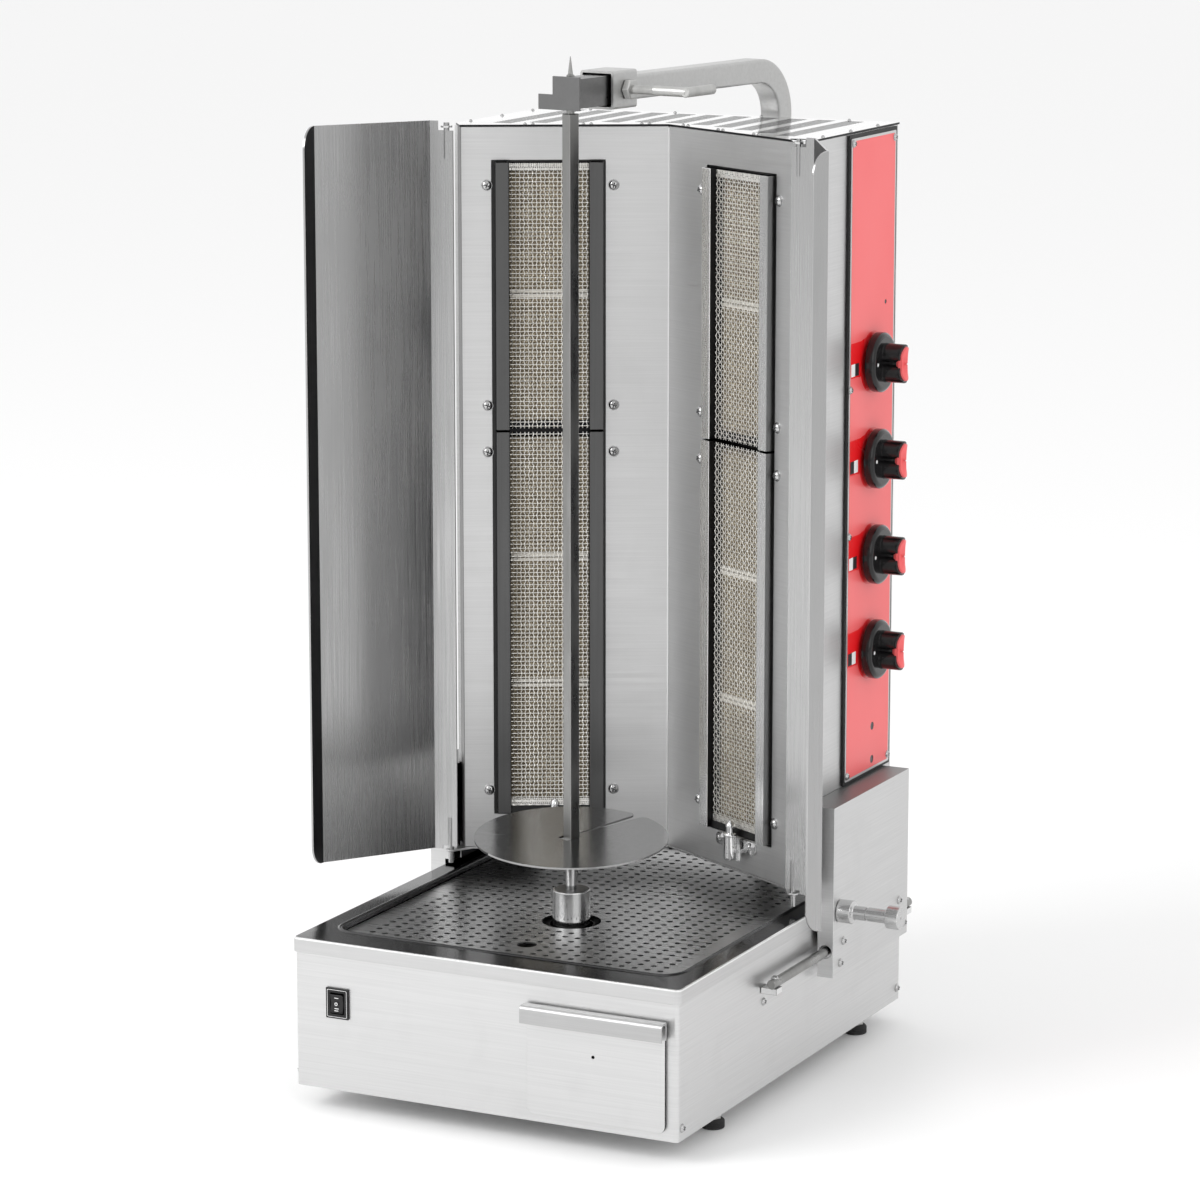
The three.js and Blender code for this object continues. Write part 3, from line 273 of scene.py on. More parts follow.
def fired_paint(name, colour, roughness):
    """Enamelled or printed metal with a soft clear gloss."""
    made = Finish(name, colour, roughness)
    made.set("Coat Weight", 0.15)
    made.set("Coat Roughness", 0.2)
    peel = made.noise((260, 260, 260), 2.0)
    cloud = made.noise((9, 9, 6), 3.0)
    made.tint(made.ranged(cloud, 0.35, 0.7, 0.0, 0.12), tuple(c * 0.8 for c in colour))
    made.rough(made.ranged(cloud, 0.3, 0.7, roughness - 0.04, roughness + 0.05))
    made.bump(peel, 0.00004, 0.3)
    return made.material


FINISH = {
    "base": brushed("base_sheet", 0.67, 0.38, LEVEL),
    "skirt": brushed("skirt_sheet", 0.6, 0.36, LEVEL),
    "handle": brushed("drawer_handle_sheet", 0.5, 0.4, LEVEL),
    "panel": brushed("panel_sheet", 0.61, 0.4, LEVEL, SOFT),
    # grey painted shade on the end of a burner panel that folds back to the cabinet's side
    "return": brushed("panel_return_painted_shade", 0.2, 0.4),
    # near-black painted shade behind the edges of the burner windows, also the dark clip on the lower guards
    "flange": brushed("burner_flange_sheet", 0.05, 0.4),
    "door": brushed("door_sheet", 0.42, 0.25, (700, 700, 9), FAINT),
    "dark": brushed("shaded_sheet", (0.03, 0.03, 0.032), 0.4),
    # painted highlight for bends, edges and the seam in the cabinet's inner corner
    "fold": brushed("fold_edge_painted_highlight", 0.9, 0.3),
    "cover": brushed("cover_sheet", 0.64, 0.42, LEVEL),
    # grey painted shadow on a slide cover's top
    "cover_top_shade": brushed("cover_top_shade_sheet", 0.3, 0.5, LEVEL),
    "arm": brushed("arm_tube_steel", (0.5, 0.5, 0.495), 0.36, EVEN),
    "head": brushed("spit_head_steel", 0.18, 0.3, EVEN),
    "bright": brushed("bright_sheet", 0.82, 0.12, (420, 5, 5), SOFT),
    "disc": brushed("disc_steel", 0.34, 0.2, EVEN, SOFT),
    "turned": brushed("turned_steel", 0.66, 0.17, ROUND, FAINT),
    "screw": brushed("screw_steel", 0.5, 0.2, (500, 500, 500)),
    "handle_steel": brushed("lock_handle_steel", 0.6, 0.28, ROUND, FAINT),
    # near-black painted dark reflection on the deck's top
    "deck": brushed("deck_painted_dark_reflection", (0.1, 0.1, 0.102), 0.14, ALONG_SHEET, SOFT),
    "tray": brushed("tray_sheet", 0.5, 0.28, ALONG_SHEET, SOFT),
    # near-black painted shade for the well floor under the tray
    "pit": brushed("well_floor_painted_shade", 0.015, 0.5),
    # the burner channels' steel in lit and shaded copies: painted shade on the left, painted highlight on the
    # right, grey painted shade on the right ones' far sides
    "channel_left": brushed("channel_left_painted_shade", 0.11, 0.36),
    "channel_right": brushed("channel_right_painted_highlight", 0.86, 0.26),
    "channel_side": brushed("channel_side_painted_shade", 0.3, 0.36),
    "wire": worn_steel("guard_wire_steel", (0.86, 0.85, 0.82), 0.3, (0.6, 0.57, 0.52)),
    "bar": worn_steel("spit_bar_steel", (0.3, 0.3, 0.295), 0.3, (0.2, 0.195, 0.185)),
    "zinc": worn_steel("zinc_plated_steel", (0.52, 0.52, 0.51), 0.45, (0.38, 0.38, 0.37)),
    "brass": worn_steel("burner_brass", (0.6, 0.43, 0.17), 0.35, (0.3, 0.2, 0.08)),
    "plaque": ceramic(),
    "stud": moulded("plaque_relief", (0.72, 0.65, 0.5), 0.9),
    "gasket": moulded("gasket_fibre", (0.82, 0.79, 0.72), 0.9),
    "red": fired_paint("panel_red", (0.86, 0.12, 0.125), 0.4),
    "red_print": fired_paint("print_red", (0.8, 0.008, 0.012), 0.3),
    "white_print": fired_paint("print_white", (0.85, 0.85, 0.85), 0.4),
    # black print on the knob marks, and painted shade in screw recesses and small holes
    "black_print_and_shade": fired_paint("print_black_and_shade", (0.02, 0.02, 0.022), 0.35),
    "gloss": moulded("gloss_black_plastic", (0.008, 0.0075, 0.008), 0.16, 0.2, 0.3),
    "black": moulded("satin_black_plastic", (0.012, 0.012, 0.0125), 0.45, 0.0, 0.3),
    "rubber": moulded("foot_rubber", (0.022, 0.022, 0.022), 0.75),
    "motor": moulded("motor_enamel", (0.07, 0.075, 0.085), 0.5, 0.2),
}


# ---------------- outlines and solids
def circle(radius, x=0.0, y=0.0, sides=48, start=0.0, sweep=360.0):
    """Points round a circle, or round part of one when the sweep is under 360 degrees."""
    steps = sides if sweep >= 360 else sides + 1
    angles = [math.radians(start + sweep * i / sides) for i in range(steps)]
    return [(x + radius * math.cos(a), y + radius * math.sin(a)) for a in angles]


def rounded(x0, x1, y0, y1, radius, steps=8):
    """A rectangle with rounded corners, anticlockwise."""
    left, right, low, high = x0 + radius, x1 - radius, y0 + radius, y1 - radius
    points = []
    for i, (x, y) in enumerate(((right, low), (right, high), (left, high), (left, low))):
        points += circle(radius, x, y, steps, start=-90 + 90 * i, sweep=90)
    return points


def at_height(outline, z):
    return [(x, y, z) for x, y in outline]


def rings(profile, x=0.0, y=0.0, sides=48):
    """Level circles from (radius, height) points."""
    return [at_height(circle(radius, x, y, sides), z) for radius, z in profile]


class Shape:
    """Closed shells gathered in one local frame, in millimetres. Paint is the index of a face's finish."""

    def __init__(self):
        self.verts = []
        self.faces = []
        self.paints = []

    def add(self, verts, faces, paint=0, move=None):
        first = len(self.verts)
        self.verts += [move @ Vector(v) if move else Vector(v) for v in verts]
        self.faces += [tuple(first + i for i in face) for face in faces]
        self.paints += [paint] * len(faces)
        return self

    def loft(self, sections, paint=0, move=None, closed=False):
        """A skin over rings of equally many points, capped at both ends or closed on itself."""
        count = len(sections[0])
        faces = []
        for i in range(len(sections) if closed else len(sections) - 1):
            a, b = i * count, (i + 1) % len(sections) * count
            faces += [(a + j, a + (j + 1) % count, b + (j + 1) % count, b + j) for j in range(count)]
        if not closed:
            faces.append(tuple(reversed(range(count))))
            faces.append(tuple((len(sections) - 1) * count + j for j in range(count)))
        return self.add([p for section in sections for p in section], faces, paint, move)

    def lathe(self, profile, paint=0, move=None, sides=48):
        """A solid of revolution about local Z from (radius, height) points, lowest first."""
        return self.loft(rings(profile, sides=sides), paint, move)

    def plate(self, outline, holes, bottom, top, paint=0, move=None):
        """A flat plate with holes through it."""
        loops = [outline, *holes]
        points = [Vector(p) for loop in loops for p in loop]
        indices, first = [], 0
        for loop in loops:
            indices.append(list(range(first, first + len(loop))))
            first += len(loop)
        found = delaunay_2d_cdt(points, [], indices, 1, 1e-4)
        flat, faces, owners = found[0], found[2], found[5]
        kept = [face for face, owner in zip(faces, owners) if list(owner) == [0]]
        count = len(flat)
        verts = [(p.x, p.y, bottom) for p in flat] + [(p.x, p.y, top) for p in flat]
        sheet = [tuple(reversed(face)) for face in kept] + [tuple(i + count for i in face) for face in kept]
        edges = {}
        for face in kept:
            for a, b in zip(face, (*face[1:], face[0])):
                if (b, a) in edges:
                    del edges[(b, a)]
                else:
                    edges[(a, b)] = True
        sheet += [(a, b, b + count, a + count) for a, b in edges]
        return self.add(verts, sheet, paint, move)

    def block(self, low, high, paint=0, move=None):
        outline = [(low[0], low[1]), (high[0], low[1]), (high[0], high[1]), (low[0], high[1])]
        return self.loft([at_height(outline, low[2]), at_height(outline, high[2])], paint, move)

    def tube(self, path, radius, paint=0, move=None, sides=8):
        """A round wire along a path of points."""
        path = [Vector(p) for p in path]
        side = None
        sections = []
        for i, point in enumerate(path):
            ahead = (path[min(i + 1, len(path) - 1)] - path[max(i - 1, 0)]).normalized()
            side = side or ahead.orthogonal()
            side = (side - ahead * side.dot(ahead)).normalized()
            other = ahead.cross(side)
            sections.append([point + side * x + other * y for x, y in circle(radius, sides=sides)])
        return self.loft(sections, paint, move)


SHARP = math.radians(38)


def shaded(bm):
    """Smooth shading, kept sharp at steep edges, written to a new mesh."""
    bmesh.ops.recalc_face_normals(bm, faces=bm.faces)
    mesh = bpy.data.meshes.new("piece")
    bm.to_mesh(mesh)
    bm.free()
    mesh.shade_smooth()
    mesh.set_sharp_from_angle(angle=SHARP)
    return mesh


def bevelled(bm, width):
    steep = [e for e in bm.edges if len(e.link_faces) == 2 and e.calc_face_angle(0) > SHARP]
    bmesh.ops.bevel(
        bm, geom=steep, offset=width * MM, segments=2, profile=0.5, affect="EDGES", clamp_overlap=True
    )


def placed(name, data):
    obj = bpy.data.objects.new(name, data)
    bpy.context.scene.collection.objects.link(obj)
    return obj


def piece(name, mesh, finishes, body, replaces=()):
    obj = placed(name, mesh)
    for finish in finishes:
        mesh.materials.append(FINISH[finish])
    # flat faces keep their own normal beside a rounded edge
    weighted = obj.modifiers.new("flat_faces", "WEIGHTED_NORMAL")
    weighted.keep_sharp = True
    weighted.weight = 100
    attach(obj, body)
    if replaces:
        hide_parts(*replaces)
    return obj


def build(shape, name, finishes, body, place=MACHINE, replaces=(), bevel=0.0):
    """Turns a shape into a piece."""
    mesh = bpy.data.meshes.new(name)
    mesh.from_pydata([place @ v for v in shape.verts], [], shape.faces)
    mesh.polygons.foreach_set("material_index", shape.paints)
    bm = bmesh.new()
    bm.from_mesh(mesh)
    bpy.data.meshes.remove(mesh)
    if bevel:
        bevelled(bm, bevel)
    return piece(name, shaded(bm), finishes, body, replaces)


def body_of(node):
    return frame["nodes"][node]["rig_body"]


def remade(shape, node, finishes, place=MACHINE, bevel=0.0):
    """The piece that stands in for one CAD node and rides on its body."""
    return build(shape, f"{node}_shape", finishes, body_of(node), place, (node,), bevel)


def softened(node, finish, width=0.5, paint=None, extra=()):
    """The CAD node's own shape with its edges rounded, as folded or machined metal has them."""
    bm = bmesh.new()
    bm.from_mesh(frame["nodes"][node].data)
    bmesh.ops.remove_doubles(bm, verts=bm.verts, dist=0.00001)
    bmesh.ops.dissolve_limit(bm, angle_limit=math.radians(1), verts=bm.verts, edges=bm.edges)
    if width:
        bevelled(bm, width)
    for face in bm.faces:
        face.material_index = paint(face.calc_center_median(), face.normal) if paint else 0
    return piece(f"{node}_shape", shaded(bm), (finish, *extra), body_of(node), (node,))


# ---------------- screws
def domed_screw(shape, radius, move):
    """A pan head with a cross recess on a plain washer, standing on local Z."""
    height, washer = radius * 0.62, radius * 1.12
    shape.lathe([(washer, 0), (washer, 0.35), (washer - 0.3, 0.55), (0.4, 0.55)], move=move, sides=24)
    angles = [math.radians(a) for a in (0, 18, 36, 54, 70)]
    dome = [(radius * math.cos(a), 0.5 + height * math.sin(a)) for a in angles]
    shape.lathe([(radius * 0.98, 0.3), *dome, (radius * 0.2, 0.5 + height)], move=move, sides=24)
    # the cross recess is a thin black cross on the dome: painted shade in the recess
    half, reach = radius * 0.11, radius * 0.52
    for angle in (20, 110):
        low, high = (-reach, -half, 0.4 + height * 0.8), (reach, half, 0.56 + height)
        shape.block(low, high, 1, move @ turn(angle, "Z"))


def screws(name, places, radius, body, place=MACHINE):
    shape = Shape()
    for move in places:
        domed_screw(shape, radius, move)
    build(shape, name, ("screw", "black_print_and_shade"), body, place)


# ---------------- base
def base():
    """The folded base with its motor, cable gland and low side screws."""
    softened("base_shell", "base", 1.0)
    softened("gearmotor", "motor", 0.8)
    softened("cable_gland", "black", 0.5)
    y, z = 268, 37
    places = [shift(s * BASE_HALF_X, s_y * y, z) @ turn(s * 90, "Y") for s in (1, -1) for s_y in (1, -1)]
    screws("base_side_screws", places, 4.2, "base")


def deck_pan():
    """One pressed sheet: turned-down skirt, flat rim, raised bead and a well with rounded foot."""
    low, high = extent("deck_pan")
    # half width, half length and corner radius
    edge, well = (high.x, high.y, 6.5), (189.0, 238.0, 22.0)
    sheet, well_foot = 2.0, 166.0

    def ring(outer, inset, z):
        half_x, half_y, corner = (v - inset for v in outer)
        return at_height(rounded(-half_x, half_x, -half_y, half_y, corner, 10), z)

    section = [(edge, 2.2, low.z), (edge, 0.3, low.z), (edge, 0.0, low.z + 0.4)]
    section += [(edge, 0.0, DECK_TOP - 1.8), (edge, 0.5, DECK_TOP - 0.55), (edge, 1.8, DECK_TOP)]
    bead = [(-5.6, 0), (-4.9, 0.4), (-3.6, 1.3), (-2.4, 1.5), (-1.2, 1.2), (-0.2, 0.1), (0.0, -1.5)]
    section += [(well, inset, DECK_TOP + z) for inset, z in bead]
    section += [(well, inset, well_foot + z) for inset, z in ((0.0, 2.6), (0.8, 0.8), (2.6, 0), (12.0, 0))]
    section += [(well, 12.0, well_foot - sheet), (well, -sheet, well_foot - sheet)]
    section += [(well, -sheet, DECK_TOP - sheet), (edge, 2.2, DECK_TOP - sheet)]
    face = [ring(*row) for row in section]
    # the top, bead and well walls are near black: a painted dark reflection on the same steel sheet as the
    # skirt
    shape = Shape().loft(face, closed=True)
    # the skirt is pale, with a painted highlight along the rounding of its edge
    around = len(face[0])
    shape.paints[: 3 * around] = [1] * (3 * around)
    shape.paints[3 * around : 5 * around] = [3] * (2 * around)
    collar_in, collar_out, collar_top = 22.5, 24.0, well_foot + 3.5
    floor_x, floor_y, drain = 178, 227, circle(12, 120, -180, 32)
    holes = [circle(collar_in, 0, SPIT_Y, 64), drain]
    outline = rounded(-floor_x, floor_x, -floor_y, floor_y, 11, 10)
    # the well floor and the collar round the hub's hole are near black: painted shade under the tray
    shape.plate(outline, holes, well_foot - sheet, well_foot, 2)
    lip = [(collar_in, well_foot - 1), (collar_out, well_foot - 1)]
    lip += [(collar_out, collar_top), (collar_in, collar_top)]
    shape.loft(rings(lip, 0, SPIT_Y, 64), 2, closed=True)
    remade(shape, "deck_pan", ("deck", "skirt", "pit", "fold"))


def perforated_tray():
    """Sheet with rows of small holes round the hub's hole and a finger hole, on four low pads."""
    low, high = extent("perforated_tray")
    top = high.z
    bottom = top - 1.5
    pitch, hole = 14.0, 3.2
    hub_hole, finger_hole = (30.2, 0.0, SPIT_Y), (10.0, 0.0, -183.0)
    margin = 8.0
    holes = [circle(r, x, y, 64) for r, x, y in (hub_hole, finger_hole)]
    columns = int((high.x - 12) // pitch)
    rows = int((high.y - 10) // pitch)
    for i in range(-columns, columns):
        for j in range(-rows, rows + 1):
            x, y = (i + 0.5) * pitch, j * pitch
            in_corner = abs(x) > high.x - 22 and abs(y) > high.y - 22
            clear = all(math.hypot(x - cx, y - cy) > r + hole + 3 for r, cx, cy in (hub_hole, finger_hole))
            if clear and not in_corner and abs(x) < high.x - margin:
                holes.append(circle(hole, x, y, 12))
    shape = Shape().plate(rounded(low.x, high.x, low.y, high.y, 20.5, 10), holes, bottom, top)
    pad_x, pad_y = 150, 200
    for x in (-pad_x, pad_x):
        for y in (-pad_y, pad_y):
            shape.lathe([(5.6, low.z), (6, low.z + 0.5), (6, bottom + 0.2)], move=shift(x, y), sides=20)
    build(shape, "tray_sheet", ("tray",), "drip_tray", replaces=("perforated_tray",))


def feet():
    """Ribbed rubber pads on threaded studs."""
    for row in ("front", "rear"):
        for side in SIDES:
            node = f"foot_{row}_{side}"
            low, high = extent(node)
            move = shift((low.x + high.x) / 2, (low.y + high.y) / 2)
            pad = [(10.6, 0), (11.7, 0.5), (12, 1.4)]
            for rib in range(3):
                z = 1.9 + rib * 1.8
                pad += [(12, z + 0.7), (11.4, z + 1.0), (11.4, z + 1.3), (12, z + 1.6)]
            pad += [(11.2, 8.4), (9.3, 10), (5, 10.1)]
            shape = Shape().lathe(pad, move=move, sides=40)
            shape.lathe([(8.6, 10), (8.6, 13.4), (8, 14)], 1, move, 6)
            thread = [(4.6 + 0.4 * (i % 2), 13.5 + i * 0.6) for i in range(int((high.z - 13.5) / 0.6) + 1)]
            shape.lathe(thread, 1, move, 24)
            remade(shape, node, ("rubber", "zinc"))


def guide_rods():
    """Ground rod on a small block at each end. A screw holds the rod, and one below it the block."""
    radius, x, z = 5.0, 225.0, 135.0
    chamfer, half, from_end = 0.8, 7.0, 9.0
    for side in SIDES:
        node = f"guide_rod_{side}"
        low, high = extent(node)
        rod = [(radius - chamfer, low.y), (radius, low.y + chamfer)]
        rod += [(radius, high.y - chamfer), (radius - chamfer, high.y)]
        shape = Shape().lathe(rod, move=shift(x, 0, z) @ ALONG_Y)
        places = []
        for y in (low.y + from_end, high.y - from_end):
            shape.block((BASE_HALF_X + 0.3, y - half, low.z), (x + radius, y + half, z - radius + 0.5), 1)
            places.append(shift(x, y, z + radius - 0.5))
            places.append(shift(BASE_HALF_X, y, low.z - 10) @ turn(90, "Y"))
        remade(shape, node, ("bar", "bright"), HALF[side], 0.4)
        screws(f"rod_screws_{side}", places, 3.8, "base", HALF[side])


def switch():
    """Three-position rocker in a bezel with a thin pale line round it."""
    low, high = extent("switch_bezel")
    softened("switch_bezel", "black", 0.6)
    rim = Shape()
    outer = rounded(low.x + 1.6, high.x - 1.6, low.z + 1.6, high.z - 1.6, 1.2, 4)
    inner = rounded(low.x + 2.0, high.x - 2.0, low.z + 2.0, high.z - 2.0, 1.0, 4)
    place = MACHINE @ ALONG_Y
    rim.plate(outer, [inner], low.y - 0.04, low.y + 0.1)
    build(rim, "switch_rim_line", ("white_print",), "base", place)
    softened("switch_rocker", "gloss", 0.6)
    # I, 0 and II on the rocker's slopes, turned a quarter
    rocker_low, rocker_high = extent("switch_rocker")
    x = (rocker_low.x + rocker_high.x) / 2
    z = (rocker_low.z + rocker_high.z) / 2
    face = rocker_low.y
    marks = Shape()
    slope = math.degrees(math.atan2(2.0, rocker_high.z - z))
    for part, strokes in ((1, [0.0]), (-1, [-1.1, 1.1])):
        tilt = shift(x, face + 0.6, z + part * 6.0) @ turn(part * slope, "X") @ FACING_FRONT
        for offset in strokes:
            marks.block((-2.3, offset - 0.35, -0.1), (2.3, offset + 0.35, 0.12), move=tilt)
    zero = [circle(1.7, sides=24), circle(1.1, sides=24)]
    marks.plate(zero[0], [zero[1]], -0.1, 0.35, move=shift(x, face + 0.1, z) @ FACING_FRONT)
    build(marks, "switch_marks", ("white_print",), "power_rocker")


def drawer():
    """The edge of the drawer's front plate is in its own shadow."""
    softened(
        "grease_drawer", "base", 0.6, lambda centre, normal: int(normal.x > 0.6), ("dark",)
    )
    softened("drawer_handle", "handle", 0.5)


# ---------------- spit
def spit():
    """Drive hub with a socket, and the square bar on its round foot with a collar."""
    low, high = extent("drive_hub")
    top, radius, socket = high.z, high.x, 6.4
    foot = 165.5
    hub = [(9.6, low.z), (10, low.z + 0.5), (10, foot), (radius - 1.6, foot), (radius - 0.4, foot + 0.6)]
    hub += [(radius, foot + 1.6), (radius, top - 1.6), (radius - 0.5, top - 0.4), (radius - 1.4, top)]
    hub += [(socket + 0.9, top), (socket, top - 0.9), (socket, top - 16), (0.5, top - 16)]
    shape = Shape().lathe(hub, sides=72)
    # the hub's end carries a near-black painted reflection of the disc above it
    inner, outer, under, over = socket + 1, radius - 1.8, top - 0.2, top + 0.05
    face = Shape().lathe([(inner, under), (outer, under), (outer, over), (inner, over)])
    remade(shape, "drive_hub", ("turned",), SPIT)
    build(face, "drive_hub_face", ("channel_left",), "spit", SPIT)

    low, high = extent("spit_bar")
    shoulder, square_top, half = 254.0, 993.0, 6.0
    foot_radius, neck_radius, collar = 6.0, 7.9, 10.0
    post = [(foot_radius - 0.4, low.z), (foot_radius, low.z + 0.5), (foot_radius, top + 4)]
    post += [(neck_radius, shoulder - 3.2), (collar - 0.4, shoulder - 3), (collar, shoulder - 2.5)]
    post += [(collar, shoulder + 2), (collar - 0.5, shoulder + 2.5), (0.5, shoulder + 2.5)]
    build(Shape().lathe(post), "spit_post", ("turned",), "spit", SPIT)
    corner = 0.9
    square = rounded(-half, half, -half, half, corner, 3)
    chamfer = 0.7
    tapered = rounded(-half + chamfer, half - chamfer, -half + chamfer, half - chamfer, corner, 3)
    sections = [at_height(square, z) for z in (shoulder, square_top - chamfer)]
    shape = Shape().loft([*sections, at_height(tapered, square_top)])
    journal = [(4, square_top - 2), (4, ARM_Z + 17.4), (3.4, ARM_Z + 18), (2.6, ARM_Z + 18.4)]
    shape.lathe([*journal, (0.35, high.z)])
    remade(shape, "spit_bar", ("bar",), SPIT)


def meat_disc():
    """A loose disc that leans on the collar. A slit from its hole opens towards the rim."""
    radius, thick, corner = 98.8, 2.0, 7.0
    hole, hole_front, near = 7.2, -12.0, -3.0
    far_foot, far_end = Vector((-4.0, hole)), Vector((-13.4, 103.8))
    along = (far_end - far_foot).normalized()
    aside = Vector((-along.y, along.x))
    # centres of the two roundings where the slit meets the rim
    inner = radius - corner
    start = far_foot + aside * corner
    run = -start.dot(along) + math.sqrt(start.dot(along) ** 2 + inner**2 - start.length_squared)
    far_centre = start + along * run
    near_centre = Vector((near + corner, math.sqrt(inner**2 - (near + corner) ** 2)))
    far_angle = math.degrees(math.atan2(far_centre.y, far_centre.x))
    near_angle = math.degrees(math.atan2(near_centre.y, near_centre.x))
    edge_angle = math.degrees(math.atan2(-aside.y, -aside.x))
    outline = circle(radius, sides=144, start=far_angle, sweep=360 + near_angle - far_angle)
    outline += circle(corner, near_centre.x, near_centre.y, 12, start=near_angle, sweep=180 - near_angle)
    outline += [(near, hole), (hole, hole), (hole, hole_front), (-hole, hole_front), (-hole, hole)]
    outline.append(tuple(far_foot))
    outline += circle(corner, far_centre.x, far_centre.y, 12, start=edge_angle, sweep=far_angle - edge_angle)
    towards = math.radians(DISC_LEAN_TOWARDS)
    low, high = extent("meat_disc")
    lean = Matrix.Rotation(math.radians(DISC_LEAN), 4, Vector((-math.sin(towards), math.cos(towards), 0)))
    place = MACHINE @ shift(0, SPIT_Y, (low.z + high.z) / 2) @ lean @ turn(SPIT_TURN, "Z")
    pinhole = circle(1.2, -84, 20, 12)
    shape = Shape().plate(outline, [pinhole], -thick / 2, thick / 2)
    # a stretch of the sheet's edge is in shadow, nearly all of it on the rim
    edges, first_dark = len(outline) + len(pinhole), 146
    shape.paints[first_dark - edges : len(outline) - edges] = [1] * (len(outline) - first_dark)
    remade(shape, "meat_disc", ("disc", "dark"), place, 0.25)


# ---------------- arm and head
def arm():
    """Square tube bent over the cabinet, with the clamp sleeve at its front and a bolted foot."""
    post_y = math.hypot(ARM_POST.x, ARM_POST.y - SPIT_Y)
    bend, half, foot, front = 48.0, 12.5, 45.0, 84.0
    path = [(front, ARM_Z, 0.0)]
    centre_y, centre_z = post_y - bend, ARM_Z - bend
    steps = 28
    for i in range(steps + 1):
        angle = 90 - 90 * i / steps
        a = math.radians(angle)
        path.append((centre_y + bend * math.cos(a), centre_z + bend * math.sin(a), 90 - angle))
    path.append((post_y, foot, 90.0))
    section = rounded(-half, half, -half, half, 3.0, 5)
    sections = []
    for y, z, fall in path:
        a = math.radians(fall)
        sections.append([(u, y + v * math.sin(a), z + v * math.cos(a)) for u, v in section])
    shape = Shape().loft(sections)
    # the sleeve is a short box tube, open at the front
    across, tall, wall = 19.75, 19.0, 2.5
    outer = rounded(-across, across, ARM_Z - tall, ARM_Z + tall, 3.0, 5)
    inner = rounded(-across + wall, across - wall, ARM_Z - tall + wall, ARM_Z + tall - wall, 1.2, 5)
    sleeve = [at_height(outer, SLEEVE_FRONT), at_height(outer, SLEEVE_BACK)]
    sleeve += [at_height(inner, SLEEVE_BACK), at_height(inner, SLEEVE_FRONT)]
    first = len(shape.paints)
    shape.loft(sleeve, move=ALONG_Y, closed=True)
    # the inside of the sleeve is in shadow
    inside = first + 2 * len(outer)
    shape.paints[inside : inside + len(outer)] = [1] * len(outer)
    end = rounded(1 - across, across - 1, ARM_Z - tall + 1, ARM_Z + tall - 1, 2.5, 4)
    shape.plate(end, [], SLEEVE_BACK - 4, SLEEVE_BACK - 1, move=ALONG_Y)
    # weld bead round the tube where it meets the sleeve
    bead = [(x * 1.06, SLEEVE_BACK + 0.6, ARM_Z + y * 1.06) for x, y in section]
    shape.tube([*bead, bead[0]], 1.3, sides=6)
    remade(shape, "arm_tube", ("arm", "dark"), ARM)

    flat, depth, chamfer = 10.9, 8.0, 1.3
    profile = [(flat - chamfer, 0.1), (flat, 0.9), (flat, depth - 0.9), (flat - chamfer, depth)]
    profile = [(radius, across + x) for radius, x in profile]
    nut = Shape().lathe(profile, move=shift(0, CLAMP_Y, ARM_Z) @ ALONG_X, sides=6)
    build(nut, "clamp_nut", ("zinc",), "base", ARM, bevel=0.4)

    x, plate_half, plate_foot, plate_top = ARM_POST.x, 32, 43, 159
    outline = rounded(x - plate_half, x + plate_half, plate_foot, plate_top, 3, 4)
    plate_back = ARM_POST.y - half + 1
    plate = Shape().plate(outline, [], BASE_HALF_Y + 0.3, plate_back, move=ALONG_Y)
    build(plate, "arm_foot_plate", ("arm",), "base", bevel=0.6)
    bolts = [(x + dx, z) for dx in (-24, 24) for z in (plate_foot + 15, plate_top - 15)]
    places = [shift(bolt_x, plate_back, z) @ turn(-90, "X") for bolt_x, z in bolts]
    screws("arm_foot_bolts", places, 5.5, "base")


def head():
    """The sliding head, and its clamp bolt with a cross handle welded on the end."""
    softened("spit_head", "head", 0.9)
    radius, start, thread_start, thread_end, pitch, end = 4.5, 14.5, 29.0, 52.0, 0.9, 90.75
    bolt = [(radius, start + 0.2)]
    x = thread_start
    while x < thread_end:
        bolt += [(radius - 0.5, x), (radius - 0.1, x + pitch / 2)]
        x += pitch
    bolt += [(radius + 0.4, thread_end + 0.4), (radius + 0.4, end)]
    shape = Shape().lathe(bolt, move=shift(0, CLAMP_Y, ARM_Z) @ ALONG_X, sides=32)
    handle_radius, handle_end = 5.0, CLAMP_Y + 46
    handle = [(handle_radius - 0.7, CLAMP_Y - radius), (handle_radius, CLAMP_Y - radius + 0.7)]
    handle += [(handle_radius, handle_end - 0.7), (handle_radius - 0.7, handle_end)]
    shape.lathe(handle, move=shift(end, 0, ARM_Z) @ ALONG_Y, sides=32)
    build(shape, "clamp_bolt_shape", ("zinc",), "head_clamp", ARM, ("head_clamp_bolt",))


# ---------------- cabinet
def cabinet():
    """The cabinet's sheets, its slide covers and gas rail, and a rod over the seam in its inner corner with a
    painted highlight.
    """
    softened("cabinet_floor", "panel", 0.3)
    softened("cabinet_back", "panel", 0.5)
    softened("gas_manifold", "brass", 0.5)
    for side in SIDES:
        softened(f"cabinet_side_{side}", "cover", 0.4)
        softened(f"slide_cover_{side}", "cover", 0.9, cover_paint, ("cover_top_shade", "dark"))
        softened(f"slide_block_{side}", "brass", 0.5)
        softened(f"burner_panel_{side}", "panel", 0.5, panel_paint(side), ("dark", "return"))
    middle = 580
    # a thin rod over the seam, with a painted highlight
    seam = [(0, PANEL_VERTEX_Y - 0.5, z) for z in (201, middle, 961)]
    build(Shape().tube(seam, 0.8), "panel_seam", ("fold",), "carriage")
    cover_screws()
    spots = [(x, z) for x in (-192, 0, 192) for z in (212, middle, 950)]
    places = [shift(x, CABINET_BACK, z) @ turn(-90, "X") for x, z in spots]
    screws("back_screws", places, 3.6, "carriage")


